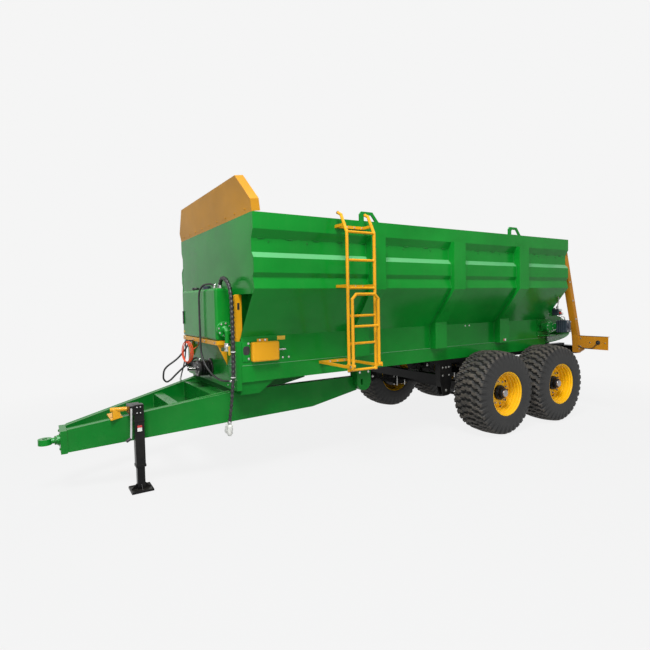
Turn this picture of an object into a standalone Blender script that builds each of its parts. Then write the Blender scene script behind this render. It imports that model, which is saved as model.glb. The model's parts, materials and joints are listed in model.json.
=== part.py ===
"""Tandem-axle manure spreader with vertical beaters.

Metres, +Z up, +X towards the tow eye, +Y to the machine's left side.
The origin is on the ground, under the middle of the machine's length and width.
"""
import math

import bmesh
import bpy
from mathutils import Matrix, Vector

# Fits
GAP = 0.0003
SHEET = 0.006
WELD = 0.002
OVERCUT = 0.050

# Wheels and axles, lengths counted from the front axle
WHEEL_BASE = 1.237
WHEEL_CENTRE_Y = 1.152
TYRE_R = 0.571
TYRE_W = 0.500
TYRE_BEAD_R = 0.3025
TYRE_SIDE_R = 0.430
TYRE_SHOULDER_R = 0.552
LUG_DEPTH = 0.026
LUG_COUNT = 36
RIM_FLANGE_R = 0.302
RIM_W = 0.470
RIM_STEPS = 18
HUB_R = 0.100
AXLE_BAR = 0.120
AXLE_BAR_END_Y = 0.880
AXLE_STUB_R = 0.050
AXLE_STUB_INSET = 0.020

# Hopper lengths, from the front axle and from the hopper's ends
BODY_REACH = 3.581
REAR_OVERHANG = 0.400
BODY_TAIL = WHEEL_BASE + REAR_OVERHANG
COVER_DEPTH = 0.059
EYE_REACH = 5.340
EYE_OUTER_R = 0.062
EYE_HOLE_R = 0.027
EYE_THICK = 0.060
EYE_Z = 0.520
BEATER_BACK = 0.483
BEATER_LEAN = math.radians(15.7)
DISC_R = 0.440
DISC_THICK = 0.012
DISC_Z = 1.200

REAR_TIP = BODY_TAIL + BEATER_BACK + DISC_R * math.cos(BEATER_LEAN) + DISC_THICK / 2 * math.sin(BEATER_LEAN)
FRONT_AXLE_X = -(EYE_REACH + EYE_OUTER_R - REAR_TIP) / 2
REAR_AXLE_X = FRONT_AXLE_X - WHEEL_BASE
BODY_FRONT_X = FRONT_AXLE_X + BODY_REACH
BODY_REAR_X = FRONT_AXLE_X - BODY_TAIL
COVER_X = BODY_FRONT_X + COVER_DEPTH
EYE_X = FRONT_AXLE_X + EYE_REACH

# Hopper side, read down its outer face
RIM_Z = 2.735
RAIL_FACE_Y = 1.247
RAIL_FACE_Z = 2.574
RAIL_FOOT_Z = 2.490
WALL_Y = 1.200
LEDGE_TOP_Z = 2.354
SWAGE_Y = 1.247
SWAGE_TOP_Z = 2.301
SWAGE_FOOT_Z = 2.155
GROOVE_Y = 1.222
GROOVE_Z = 2.110
EAVE_Y = 1.250
EAVE_Z = 2.000
KNEE_Y = 0.866
KNEE_Z = 1.513
JOINT_Z = 1.212
SILL_Z = 1.039

# Ribs
RIB_W = 0.205
RIB_PITCH = 1.295
RIB_FIRST = 2.105
RIB_UPPER_Y = 1.300
RIB_LOWER_Y = 0.970
RIB_UPPER_FOOT_Z = 1.985
RIB_LOWER_TOP_Z = 1.560
RIB_COUNT = 3

# Lifting eyes on the rim
LUG_REACHES = (2.176, -0.365)
LUG_HALF = 0.133
LUG_H = 0.106
LUG_BAR = 0.033
LUG_LEG = 0.058
LUG_SUNK = 0.030
LUG_STAND_OFF = 0.014
LUG_PLATE = 0.018

# Front wall, lower cover and headboard
FRONT_LEDGE_Z = 1.953
FRONT_SET_BACK = 0.110
FRONT_LAP = 0.100
COVER_TOP_Z = 1.468
COVER_FOOT_Z = 0.957
HEAD_BASE_Y = 1.235
HEAD_SHOULDER_Y = 1.245
HEAD_SHOULDER_H = 0.115
HEAD_TOP_Y = 0.975
HEAD_H = 0.395
HEAD_FLANGE = 0.090
HEAD_LEAN = 0.060

# Chassis
RAIL_IN_Y = 0.780
RAIL_WEB = 0.010
CROSS_DEPTH = 0.110
CROSS_W = 0.090
CROSS_REACHES = {"front": BODY_REACH - 0.281, "middle": -WHEEL_BASE / 2, "rear": -BODY_TAIL + 0.187}

# Floor and conveyor
FLOOR_Z = 1.400
FLOOR_END_GAP = 0.120
IDLER_INSET = 0.181
DRIVE_INSET = 0.087
SHAFT_Z = 1.395
CHAIN_R = 0.062
CHAIN_THICK = 0.020
CHAIN_W = 0.040
CHAIN_Y = 0.520
SLATS_A_RUN = 11
SLAT_HEIGHT = 0.030
SLAT_W = 0.050
SLAT_END_GAP = 0.012
SHAFT_R = 0.030
SPROCKET_PLAY = 0.0006
GEAR_R = 0.085
GEAR_L = 0.140
MOTOR_H = 0.190
MOTOR_D = 0.110
MOTOR_BACK = 0.225
MOTOR_L = 0.175
NECK_H = 0.110
BRACKET_PLATE = 0.012
BRACKET_HALF = 0.135
BRACKET_RIBS = 3
BRACKET_RIB_PITCH = 0.085

# Drawbar
NOSE_REACH = 5.150
NOSE_BEAM_Y = 0.105
NOSE_TOP_Z = 0.640
NOSE_FOOT_Z = 0.414
NOSE_PLATE = 0.060
KINK_REACH = 3.610
SPREAD_Y = 0.655
KINK_TOP_Z = 0.929
KINK_FOOT_Z = 0.612
BEAM_W = 0.090
TAPER_REACH = 2.645
TAPER_FOOT_Z = 0.638
BEAM_TAIL_REACH = 2.010
BEAM_TAIL_FOOT_Z = 0.760
BEAM_SLOPE = (SPREAD_Y - NOSE_BEAM_Y) / (NOSE_REACH - KINK_REACH)
CROSS_DRAW_FRONT_W = 0.110
CROSS_DRAW_FRONT_H = 0.160
CROSS_DRAW_FRONT_REACH = 4.150
CROSS_DRAW_REAR_W = 0.190
CROSS_DRAW_REAR_H = 0.200
CROSS_DRAW_REAR_REACH = KINK_REACH + CROSS_DRAW_REAR_W / 2
HANGER_Y = 0.850
HOOK_Y = 0.800
CROSS_DRAW_DROP = 0.020
SHANK_R = 0.030
COLLAR_R = 0.050
COLLAR_L = 0.025

# Jack
JACK_REACH = 4.530
JACK_TUBE = 0.090
JACK_WALL = 0.008
JACK_TOP_Z = 0.860
JACK_TUBE_FOOT_Z = 0.240
JACK_FOOT_W = 0.210
JACK_FOOT_THICK = 0.016
JACK_STAND_OFF = 0.020
JACK_SLIDE_GAP = 0.0005
JACK_LEG_TOP_Z = 0.660
JACK_CAP = 0.020
HEAD_BLOCK_DOWN = 0.038
HEAD_BLOCK_UP = 0.052
SADDLE_L = 0.070
SADDLE_W = 0.040
MOUNT_TUBE_R = 0.022
MOUNT_TUBE_PLAY = 0.0006
MOUNT_TUBE_Z = 0.815
CRANK_R = 0.009

# Oil tank
TANK_OFF = 0.009
TANK_DEPTH = 0.170
TANK_HALF_Y = 0.630
TANK_FOOT_Z = COVER_TOP_Z + 0.002
TANK_TOP_Z = 2.028
TANK_ROUNDING = 0.025
TANK_FLANGE_R = 0.082
TANK_FLANGE_UP = 0.120
OUTLET_R = 0.024
OUTLET_DROP = 0.200
CARRIER_H = 0.045
GUSSET_H = 0.240
GUSSET_INSET = 0.030
GUSSET_PLATE = 0.010
GUSSET_HOLE_R = 0.024
TANK_FRONT_X = BODY_FRONT_X + TANK_OFF + TANK_DEPTH

# Front posts, pump and chain tensioner guards
FRONT_POST_Y = 0.800
FRONT_POST_W = 0.070
FRONT_POST_D = 0.068
FRONT_POST_BACK = 0.022
FRONT_POST_TAPER = 0.120
PUMP_Y = 0.050
PUMP_Z = 1.120
PUMP_R = 0.085
PUMP_L = 0.160
PUMP_BODY_W = 0.300
PUMP_BODY_UP = 0.6
PUMP_BODY_DOWN = 0.7
STUB_R = 0.0175
STUB_L = 0.270
GUARD_DEPTH = 0.065
GUARD_L = 0.310
GUARD_FRONT_INSET = 0.101
GUARD_FOOT_Z = 1.250
GUARD_TOP_Z = 1.455
GUARD_TAB_H = 0.030

# Ladder
LADDER_REACH = 2.460
LADDER_W = 0.350
LADDER_Y = 1.450
LADDER_TUBE_R = 0.017
LADDER_FOOT_Z = 1.130
LADDER_BEND_Z = 2.570
LADDER_TIP_Z = 2.790
RUNG_R = 0.013
RUNG_PITCH = 0.288
RUNG_FIRST_Z = 1.420
RUNG_COUNT = 5
ARM_W = 0.024
ARM_H = 0.030
PIVOT_EAR = 0.012
FOLD_HINGE_Z = 1.190
FOLD_TOP_Z = 1.930
FOLD_Y = 1.515
FOLD_INSET = 0.008
FOLD_CORNER = 0.050
FOLD_RUNG_Z = 1.600

# Rear frame: the posts' outline is read behind the hopper's end
POST_Y = 1.150
POST_W = 0.095
POST_OUTLINE = [
    (GAP, 2.700), (0.053, 2.700), (0.053, 2.572), (0.433, 1.225), (0.559, 1.200), (0.559, 1.000),
                (0.430, 0.965),
    (0.380, 0.965), (0.348, 1.250), (GAP, 2.458),
]
BOARD_BACK = 0.370
BOARD_REACH_Y = 1.660
BOARD_TOP_Z = 1.240
BOARD_FOOT_Z = 1.035
BOARD_LIP = 0.045
TOP_BEAM_FOOT_Z = 2.590
TOP_BEAM_H = 0.110
TOP_BEAM_D = 0.150
BEARING_R = 0.070
BEARING_L = 0.160
GEAR_BEAM_Z = 1.000
GEAR_BEAM_H = 0.120
GEAR_BEAM_D = 0.140
REAR_ARM_FOOT_Z = 1.045
REAR_ARM_TOP_Z = 1.095
GEAR_CASE_R = 0.110
GEAR_CASE_L = 0.150

# Beaters
BEATER_Y = 0.480
BEATER_R = 0.380
BEATER_TOP_Z = 2.560
BEATER_FOOT = 0.050
CORE_R = 0.085
FLIGHT_THICK = 0.010
FLIGHT_TURNS = 3
FLIGHT_STEPS = 14
FLIGHT_START = 0.060
FLIGHT_END_GAP = 0.090
BLADES_A_TURN = 4
BLADE_W = 0.055
BLADE_OUT = 0.035
BLADE_THICK = 0.012
PADDLE_COUNT = 4
PADDLE_H = 0.048
PADDLE_THICK = 0.010
BEATER_LENGTH = (BEATER_TOP_Z - DISC_Z) / math.cos(BEATER_LEAN)

# Suspension
SPRING_Y = 0.820
SPRING_W = 0.069
HANGER_W = 0.090
SUBFRAME_TOP_Z = SILL_Z - GAP
SUBFRAME_H = 0.055
SUBFRAME_FRONT = 0.800
SPRING_HALF = 0.600
SPRING_EYE_Z = 0.600
SPRING_PACK_H = 0.080
CROSS_TUBE = 0.120
HANGER_HALF = 0.110
HANGER_TOE = 0.060
HANGER_TAPER = 0.200
HANGER_SLOT = 0.118
SPRING_FRONT_X = FRONT_AXLE_X + SPRING_HALF + 0.020
SPRING_MIDDLE_X = FRONT_AXLE_X - WHEEL_BASE / 2
SPRING_REAR_X = REAR_AXLE_X - SPRING_HALF - 0.020

# Spring hangers: name, place along, foot height, foot height of the cross tube
HANGERS = (
    ("front", SPRING_FRONT_X, 0.550, 0.700),
    ("middle", SPRING_MIDDLE_X, 0.640, 0.770),
    ("rear", SPRING_REAR_X, 0.550, 0.700),
)

# Hoses: radius
BUNDLE_R = 0.021
HOSE_R = 0.011
LINE_R = 0.008
HOSE_STEP = 5.0

SIDES = (("left", 1), ("right", -1))

# Finishes: base colour, roughness, metallic
FINISHES = {
    "green_paint": ((0.010, 0.180, 0.035), 0.40, 0.0),
    "yellow_paint": ((0.680, 0.330, 0.020), 0.45, 0.0),
    "black_paint": ((0.018, 0.018, 0.020), 0.50, 0.0),
    "bare_steel": ((0.420, 0.420, 0.430), 0.40, 0.9),
    "grey_casting": ((0.120, 0.140, 0.170), 0.55, 0.5),
    "tyre_rubber": ((0.022, 0.022, 0.023), 0.80, 0.0),
    "hose_rubber": ((0.020, 0.020, 0.020), 0.60, 0.0),
}

for old in list(bpy.data.objects):
    bpy.data.objects.remove(old, do_unlink=True)

MACHINE = bpy.data.collections.new("manure_spreader")
CUTTERS = bpy.data.collections.new("cutters")
for group in (MACHINE, CUTTERS):
    bpy.context.scene.collection.children.link(group)


def finish(name):
    """Return the named Principled finish, made on first use."""
    found = bpy.data.materials.get(name)
    if found:
        return found
    colour, roughness, metallic = FINISHES[name]
    made = bpy.data.materials.new(name)
    made.use_nodes = True
    shader = made.node_tree.nodes["Principled BSDF"]
    shader.inputs["Base Color"].default_value = (*colour, 1.0)
    shader.inputs["Roughness"].default_value = roughness
    shader.inputs["Metallic"].default_value = metallic
    return made


def place(name, mesh):
    """Put a mesh in the machine as one named part."""
    part = bpy.data.objects.new(name, mesh)
    MACHINE.objects.link(part)
    return part


def as_mesh(part):
    """Turn an object with its modifiers or curve into a plain welded mesh object."""
    bpy.context.view_layer.update()
    depsgraph = bpy.context.evaluated_depsgraph_get()
    mesh = bpy.data.meshes.new_from_object(part.evaluated_get(depsgraph))
    form = bmesh.new()
    form.from_mesh(mesh)
    bmesh.ops.remove_doubles(form, verts=form.verts, dist=0.00001)
    bmesh.ops.recalc_face_normals(form, faces=form.faces)
    form.to_mesh(mesh)
    form.free()
    name, matrix = part.name, part.matrix_world.copy()
    bpy.data.objects.remove(part, do_unlink=True)
    made = bpy.data.objects.new(name, mesh)
    MACHINE.objects.link(made)
    made.matrix_world = matrix
    made.name = name
    return made


def dress(part, material):
    """Give a part its finish, and smooth shading with sharp corners kept."""
    part.data.materials.clear()
    part.data.materials.append(finish(material))
    part.data.shade_smooth()
    part.data.set_sharp_from_angle(angle=math.radians(30))
    return part


def box(name, low, high):
    """A box between two corners."""
    low, high = Vector(low), Vector(high)
    form = bmesh.new()
    size = high - low
    bmesh.ops.create_cube(form, size=1.0,
                          matrix=Matrix.Translation((low + high) / 2) @ Matrix.Diagonal((*size, 1)))
    mesh = bpy.data.meshes.new(name)
    form.to_mesh(mesh)
    form.free()
    return place(name, mesh)


def rod(name, start, end, radius, sides=16, end_radius=None):
    """A round bar or a taper between two points."""
    start, end = Vector(start), Vector(end)
    run = end - start
    turn = run.to_track_quat("Z", "Y").to_matrix().to_4x4()
    form = bmesh.new()
    bmesh.ops.create_cone(
        form, cap_ends=True, segments=sides, radius1=radius,
        radius2=radius if end_radius is None else end_radius, depth=run.length,
        matrix=Matrix.Translation((start + end) / 2) @ turn)
    mesh = bpy.data.meshes.new(name)
    form.to_mesh(mesh)
    form.free()
    return place(name, mesh)


PLANES = {
    "XY": Matrix.Identity(4),
    "XZ": Matrix(((1, 0, 0, 0), (0, 0, -1, 0), (0, 1, 0, 0), (0, 0, 0, 1))),
    "YZ": Matrix(((0, 0, 1, 0), (1, 0, 0, 0), (0, 1, 0, 0), (0, 0, 0, 1))),
}
NORMALS = {"XY": Vector((0, 0, 1)), "XZ": Vector((0, 1, 0)), "YZ": Vector((1, 0, 0))}


def outline(name, plane, points, low, high):
    """A flat outline on a plane, filled and drawn out between two places across it."""
    curve = bpy.data.curves.new(name, "CURVE")
    curve.dimensions = "2D"
    curve.fill_mode = "BOTH"
    curve.extrude = (high - low) / 2
    spline = curve.splines.new("POLY")
    spline.points.add(len(points) - 1)
    for spot, (across, up) in zip(spline.points, points):
        spot.co = (across, up, 0, 1)
    spline.use_cyclic_u = True
    part = bpy.data.objects.new(name, curve)
    MACHINE.objects.link(part)
    part.matrix_world = Matrix.Translation(NORMALS[plane] * (low + high) / 2) @ PLANES[plane]
    return as_mesh(part)


def tube(name, points, radius, sides=3, cyclic=False):
    """A round tube along straight runs between points."""
    curve = bpy.data.curves.new(name, "CURVE")
    curve.dimensions = "3D"
    curve.bevel_depth = radius
    curve.bevel_resolution = sides
    curve.use_fill_caps = True
    spline = curve.splines.new("POLY")
    spline.points.add(len(points) - 1)
    for spot, point in zip(spline.points, points):
        spot.co = (*point, 1)
    spline.use_cyclic_u = cyclic
    part = bpy.data.objects.new(name, curve)
    MACHINE.objects.link(part)
    return as_mesh(part)


def smooth_route(points, step):
    """Points a step apart on a smooth curve through a route's own points."""
    route = [Vector(point) for point in points]
    route = [2 * route[0] - route[1]] + route + [2 * route[-1] - route[-2]]
    dense = []
    for index in range(1, len(route) - 2):
        before, start, end, after = route[index - 1:index + 3]
        for part in range(20):
            t = part / 20
            dense.append(0.5 * (
                2 * start + (end - before) * t
                + (2 * before - 5 * start + 4 * end - after) * t ** 2
                + (3 * start - before - 3 * end + after) * t ** 3))
    dense.append(route[-2])
    length = sum((b - a).length for a, b in zip(dense, dense[1:]))
    count = max(2, round(length / step))
    spaced, travelled, target = [dense[0]], 0.0, length / count
    for a, b in zip(dense, dense[1:]):
        run = (b - a).length
        while travelled + run >= target and len(spaced) < count:
            spaced.append(a.lerp(b, (target - travelled) / run))
            target += length / count
        travelled += run
    spaced.append(dense[-1])
    return spaced


def turned(name, profile, axis, centre, steps):
    """A profile of (radius, place along the axis) pairs, top to bottom, turned about an axis."""
    mesh = bpy.data.meshes.new(name)
    mesh.from_pydata([(radius, 0, along) for radius, along in profile],
                     [(index, index + 1) for index in range(len(profile) - 1)], [])
    part = bpy.data.objects.new(name, mesh)
    MACHINE.objects.link(part)
    screw = part.modifiers.new("turn", "SCREW")
    screw.steps = steps
    screw.render_steps = steps
    screw.use_merge_vertices = True
    screw.merge_threshold = 0.00001
    part.matrix_world = Matrix.Translation(centre) @ Vector(axis).to_track_quat("Z", "Y").to_matrix().to_4x4()
    return as_mesh(part)


def boolean(part, others, operation):
    """Join other shapes to a part, or cut them out of it."""
    for index, other in enumerate(others):
        MACHINE.objects.unlink(other)
        CUTTERS.objects.link(other)
        other.hide_render = True
        other.display_type = "WIRE"
        change = part.modifiers.new(f"{operation.lower()}_{index}", "BOOLEAN")
        change.operation = operation
        change.object = other
    return as_mesh(part)


def join(part, others):
    """Weld overlapping shapes into one body."""
    return boolean(part, others, "UNION")


def cut(part, others):
    """Take shapes out of a body."""
    return boolean(part, others, "DIFFERENCE")


def loft(name, sections):
    """A beam through rectangular sections of (x, middle y, width, bottom z, top z)."""
    corners, faces = [], []
    for x, middle, width, bottom, top in sections:
        corners += [(x, middle - width / 2, bottom), (x, middle + width / 2, bottom),
                    (x, middle + width / 2, top), (x, middle - width / 2, top)]
    for index in range(len(sections) - 1):
        a, b = 4 * index, 4 * index + 4
        for side in range(4):
            nxt = (side + 1) % 4
            faces.append((a + side, a + nxt, b + nxt, b + side))
    faces += [(3, 2, 1, 0), tuple(len(corners) - 4 + corner for corner in range(4))]
    mesh = bpy.data.meshes.new(name)
    mesh.from_pydata(corners, [], faces)
    return as_mesh(place(name, mesh))


def mirrored(points, side):
    """An outline's first coordinate times the side's sign."""
    return [(side * reach, up) for reach, up in points]


def span(a, b):
    """The lower and the higher of two places."""
    return (a, b) if a < b else (b, a)


def across(side, near, far):
    """The low and high place of a stretch on one side of the machine."""
    return span(side * near, side * far)


def inset(path, distance):
    """A path moved sideways by a distance, to the right of its direction of travel."""
    moved = []
    for index, point in enumerate(path):
        here = Vector(point)
        runs = []
        if index > 0:
            runs.append((here - Vector(path[index - 1])).normalized())
        if index < len(path) - 1:
            runs.append((Vector(path[index + 1]) - here).normalized())
        normals = [Vector((run.y, -run.x)) for run in runs]
        middle = sum(normals, Vector((0, 0))) / len(normals)
        moved.append(tuple(here + middle * distance / middle.dot(normals[0])))
    return moved


SIDE_FACE = [
    (WALL_Y, RIM_Z), (WALL_Y, LEDGE_TOP_Z), (SWAGE_Y, SWAGE_TOP_Z), (SWAGE_Y, SWAGE_FOOT_Z),
    (GROOVE_Y, GROOVE_Z), (EAVE_Y, EAVE_Z), (KNEE_Y, KNEE_Z), (KNEE_Y, JOINT_Z + GAP),
]


def body_side(label, side):
    """One side of the hopper: a folded sheet with its ribs welded on."""
    ring = SIDE_FACE + inset(SIDE_FACE, SHEET)[::-1]
    sheet = outline(f"body_side_{label}", "YZ", mirrored(ring, side), BODY_REAR_X, BODY_FRONT_X)
    buried = inset(SIDE_FACE, SHEET / 2)
    top, foot = RAIL_FACE_Z - 2 * GAP, JOINT_Z + GAP
    face = [
        (WALL_Y, RAIL_FOOT_Z - 2 * GAP), (RAIL_FACE_Y, top), (RIB_UPPER_Y, top),
        (RIB_UPPER_Y, RIB_UPPER_FOOT_Z), (RIB_LOWER_Y, RIB_LOWER_TOP_Z), (RIB_LOWER_Y, foot),
    ]
    back = [(buried[0][0], RAIL_FOOT_Z - 2 * GAP)] + buried[1:-1] + [(buried[-1][0], foot)]
    ribs = []
    for index in range(RIB_COUNT):
        middle = FRONT_AXLE_X + RIB_FIRST - index * RIB_PITCH
        ribs.append(outline(f"rib_{label}_{index}", "YZ", mirrored(face + back[::-1], side),
                            middle - RIB_W / 2, middle + RIB_W / 2))
    return dress(join(sheet, ribs), "green_paint")


LUG_ARCH = [
    (LUG_HALF, -LUG_SUNK), (LUG_HALF, LUG_H - 0.030), (LUG_HALF - 0.024, LUG_H), (-0.045, LUG_H),
            (-LUG_HALF, 0.0),
    (-LUG_HALF, -LUG_SUNK), (-LUG_HALF + 0.050, -LUG_SUNK), (-LUG_HALF + 0.050, 0.006),
            (-0.030, LUG_H - LUG_BAR),
    (LUG_HALF - LUG_LEG - 0.018, LUG_H - LUG_BAR), (LUG_HALF - LUG_LEG, LUG_H - LUG_BAR - 0.018),
    (LUG_HALF - LUG_LEG, -LUG_SUNK),
]


def rim_rail(label, side):
    """The box rail along the hopper's rim, with its two lifting eyes."""
    ring = [(WALL_Y + GAP, RIM_Z), (RAIL_FACE_Y, RIM_Z), (RAIL_FACE_Y, RAIL_FACE_Z),
            (WALL_Y + GAP, RAIL_FOOT_Z)]
    rail = outline(f"rim_rail_{label}", "YZ", mirrored(ring, side), BODY_REAR_X, BODY_FRONT_X)
    low, high = across(side, WALL_Y + LUG_STAND_OFF, WALL_Y + LUG_STAND_OFF + LUG_PLATE)
    eyes = []
    for index, reach in enumerate(LUG_REACHES):
        arch = [(FRONT_AXLE_X + reach + along, RIM_Z + up) for along, up in LUG_ARCH]
        eyes.append(outline(f"eye_{label}_{index}", "XZ", arch, low, high))
    return dress(join(rail, eyes), "green_paint")


def front_wall():
    """The hopper's front: an upper panel, a ledge and a set-back lower panel."""
    inner = inset(SIDE_FACE, SHEET + GAP)
    edge = [point for point in inner if point[1] > FRONT_LEDGE_Z]
    knee = inner[len(edge)]
    share = (edge[-1][1] - FRONT_LEDGE_Z) / (edge[-1][1] - knee[1])
    ledge_y = edge[-1][0] + (knee[0] - edge[-1][0]) * share
    upper = edge + [(ledge_y, FRONT_LEDGE_Z)]
    wall = outline("front_wall", "YZ", upper + mirrored(upper[::-1], -1), BODY_FRONT_X - SHEET, BODY_FRONT_X)
    back_x = BODY_FRONT_X - FRONT_SET_BACK
    ledge = box("ledge", (back_x, WELD - ledge_y, FRONT_LEDGE_Z),
                (BODY_FRONT_X - SHEET / 2, ledge_y - WELD, FRONT_LEDGE_Z + SHEET))
    lower = [(ledge_y - 2 * WELD, FRONT_LEDGE_Z + SHEET / 2), knee, (knee[0], FLOOR_Z + FRONT_LAP)]
    back = outline("back", "YZ", lower + mirrored(lower[::-1], -1), back_x, back_x + SHEET)
    return dress(join(wall, [ledge, back]), "green_paint")


def front_cover():
    """The lower box at the front, over the conveyor's idler shaft."""
    half = KNEE_Y
    face = box("front_cover", (COVER_X - SHEET, -half, COVER_FOOT_Z), (COVER_X, half, COVER_TOP_Z))
    lid = box("lid", (BODY_FRONT_X + GAP, -half, COVER_TOP_Z - SHEET),
              (COVER_X - SHEET / 2, half, COVER_TOP_Z))
    cheeks = []
    for label, side in SIDES:
        low, high = across(side, half - SHEET, half)
        cheeks.append(box(f"cheek_{label}", (BODY_FRONT_X + GAP, low, COVER_FOOT_Z),
                          (COVER_X - SHEET / 2, high, COVER_TOP_Z - SHEET / 2)))
    return dress(join(face, [lid] + cheeks), "green_paint")


def headboard():
    """The yellow pan that stands on the front rim and leans forward."""
    outer = [(HEAD_BASE_Y, 0), (HEAD_SHOULDER_Y, HEAD_SHOULDER_H), (HEAD_TOP_Y, HEAD_H)]
    inner = [(HEAD_BASE_Y - SHEET, -OVERCUT), (HEAD_SHOULDER_Y - SHEET, HEAD_SHOULDER_H - WELD),
             (HEAD_TOP_Y - SHEET, HEAD_H - SHEET)]
    pan = outline("headboard", "YZ", outer + mirrored(outer[::-1], -1), -HEAD_FLANGE, 0)
    hollow = outline("headboard_hollow", "YZ", inner + mirrored(inner[::-1], -1), -HEAD_FLANGE - OVERCUT,
                     -SHEET)
    pan = cut(pan, [hollow])
    lean = math.atan2(HEAD_LEAN, HEAD_H)
    seat = Matrix.Translation((BODY_FRONT_X, 0, RIM_Z + GAP))
    pan.matrix_world = seat @ Matrix.Rotation(lean, 4, "Y") @ pan.matrix_world
    return dress(pan, "yellow_paint")


def chassis():
    """Two side channels and the cross members between them."""
    ring = [(KNEE_Y, JOINT_Z), (KNEE_Y, SILL_Z), (RAIL_IN_Y, SILL_Z), (RAIL_IN_Y, SILL_Z + RAIL_WEB),
            (KNEE_Y - RAIL_WEB, SILL_Z + RAIL_WEB), (KNEE_Y - RAIL_WEB, JOINT_Z - RAIL_WEB),
            (RAIL_IN_Y, JOINT_Z - RAIL_WEB), (RAIL_IN_Y, JOINT_Z)]
    for label, side in SIDES:
        rail = outline(f"chassis_rail_{label}", "YZ", mirrored(ring, side), BODY_REAR_X, BODY_FRONT_X - WELD)
        dress(rail, "green_paint")
    half_y = KNEE_Y - RAIL_WEB - GAP
    foot = SILL_Z + RAIL_WEB + GAP
    for label, reach in CROSS_REACHES.items():
        x = FRONT_AXLE_X + reach
        member = box(f"cross_member_{label}", (x - CROSS_W / 2, -half_y, foot),
                     (x + CROSS_W / 2, half_y, foot + CROSS_DEPTH))
        dress(member, "green_paint")


IDLER_X = BODY_FRONT_X - IDLER_INSET
DRIVE_X = BODY_REAR_X + DRIVE_INSET


def floor():
    """The floor plate, which the upper conveyor run slides on."""
    half_y = KNEE_Y - SHEET - GAP
    plate = box("floor_plate", (DRIVE_X + FLOOR_END_GAP, -half_y, FLOOR_Z),
                (IDLER_X - FLOOR_END_GAP, half_y, FLOOR_Z + SHEET))
    return dress(plate, "green_paint")


def stadium(radius, start, end, steps=6):
    """Points round two half circles joined by straight runs."""
    points = []
    for middle, first in ((end, math.pi / 2), (start, -math.pi / 2)):
        for index in range(steps + 1):
            angle = first - math.pi * index / steps
            points.append((middle + radius * math.cos(angle), SHAFT_Z + radius * math.sin(angle)))
    return points


def conveyor():
    """Two endless chains with cross slats, and the shafts they run on."""
    outer_r, inner_r = CHAIN_R + CHAIN_THICK / 2, CHAIN_R - CHAIN_THICK / 2
    chains = []
    for label, side in SIDES:
        low, high = across(side, CHAIN_Y - CHAIN_W / 2, CHAIN_Y + CHAIN_W / 2)
        band = outline(f"chain_{label}", "XZ", stadium(outer_r, DRIVE_X, IDLER_X), low, high)
        inside = outline(f"chain_inside_{label}", "XZ", stadium(inner_r, DRIVE_X, IDLER_X), low - OVERCUT,
                         high + OVERCUT)
        chains.append(cut(band, [inside]))
    half_y = KNEE_Y - SHEET - SLAT_END_GAP
    pitch = (IDLER_X - DRIVE_X) / SLATS_A_RUN
    slats = []
    for run, up in (("upper", 1), ("lower", -1)):
        low, high = span(SHAFT_Z + up * CHAIN_R, SHAFT_Z + up * (outer_r + SLAT_HEIGHT))
        for index in range(SLATS_A_RUN):
            x = DRIVE_X + pitch * (index + 1 / 2)
            slats.append(box(f"slat_{run}_{index}", (x - SLAT_W / 2, -half_y, low),
                             (x + SLAT_W / 2, half_y, high)))
    loop = join(chains[0], chains[1:] + slats)
    loop.name = "floor_conveyor"
    dress(loop, "bare_steel")
    half_y = KNEE_Y - SHEET - GAP
    for label, x in (("idler", IDLER_X), ("drive", DRIVE_X)):
        shaft = rod(f"conveyor_{label}_shaft", (x, -half_y, SHAFT_Z), (x, half_y, SHAFT_Z), SHAFT_R, 12)
        wheels = [rod(f"sprocket_{label}_{side}", (x, side * CHAIN_Y - CHAIN_W / 2, SHAFT_Z),
                      (x, side * CHAIN_Y + CHAIN_W / 2, SHAFT_Z), inner_r - SPROCKET_PLAY, 12)
                  for side in (-1, 1)]
        dress(join(shaft, wheels), "bare_steel")


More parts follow.
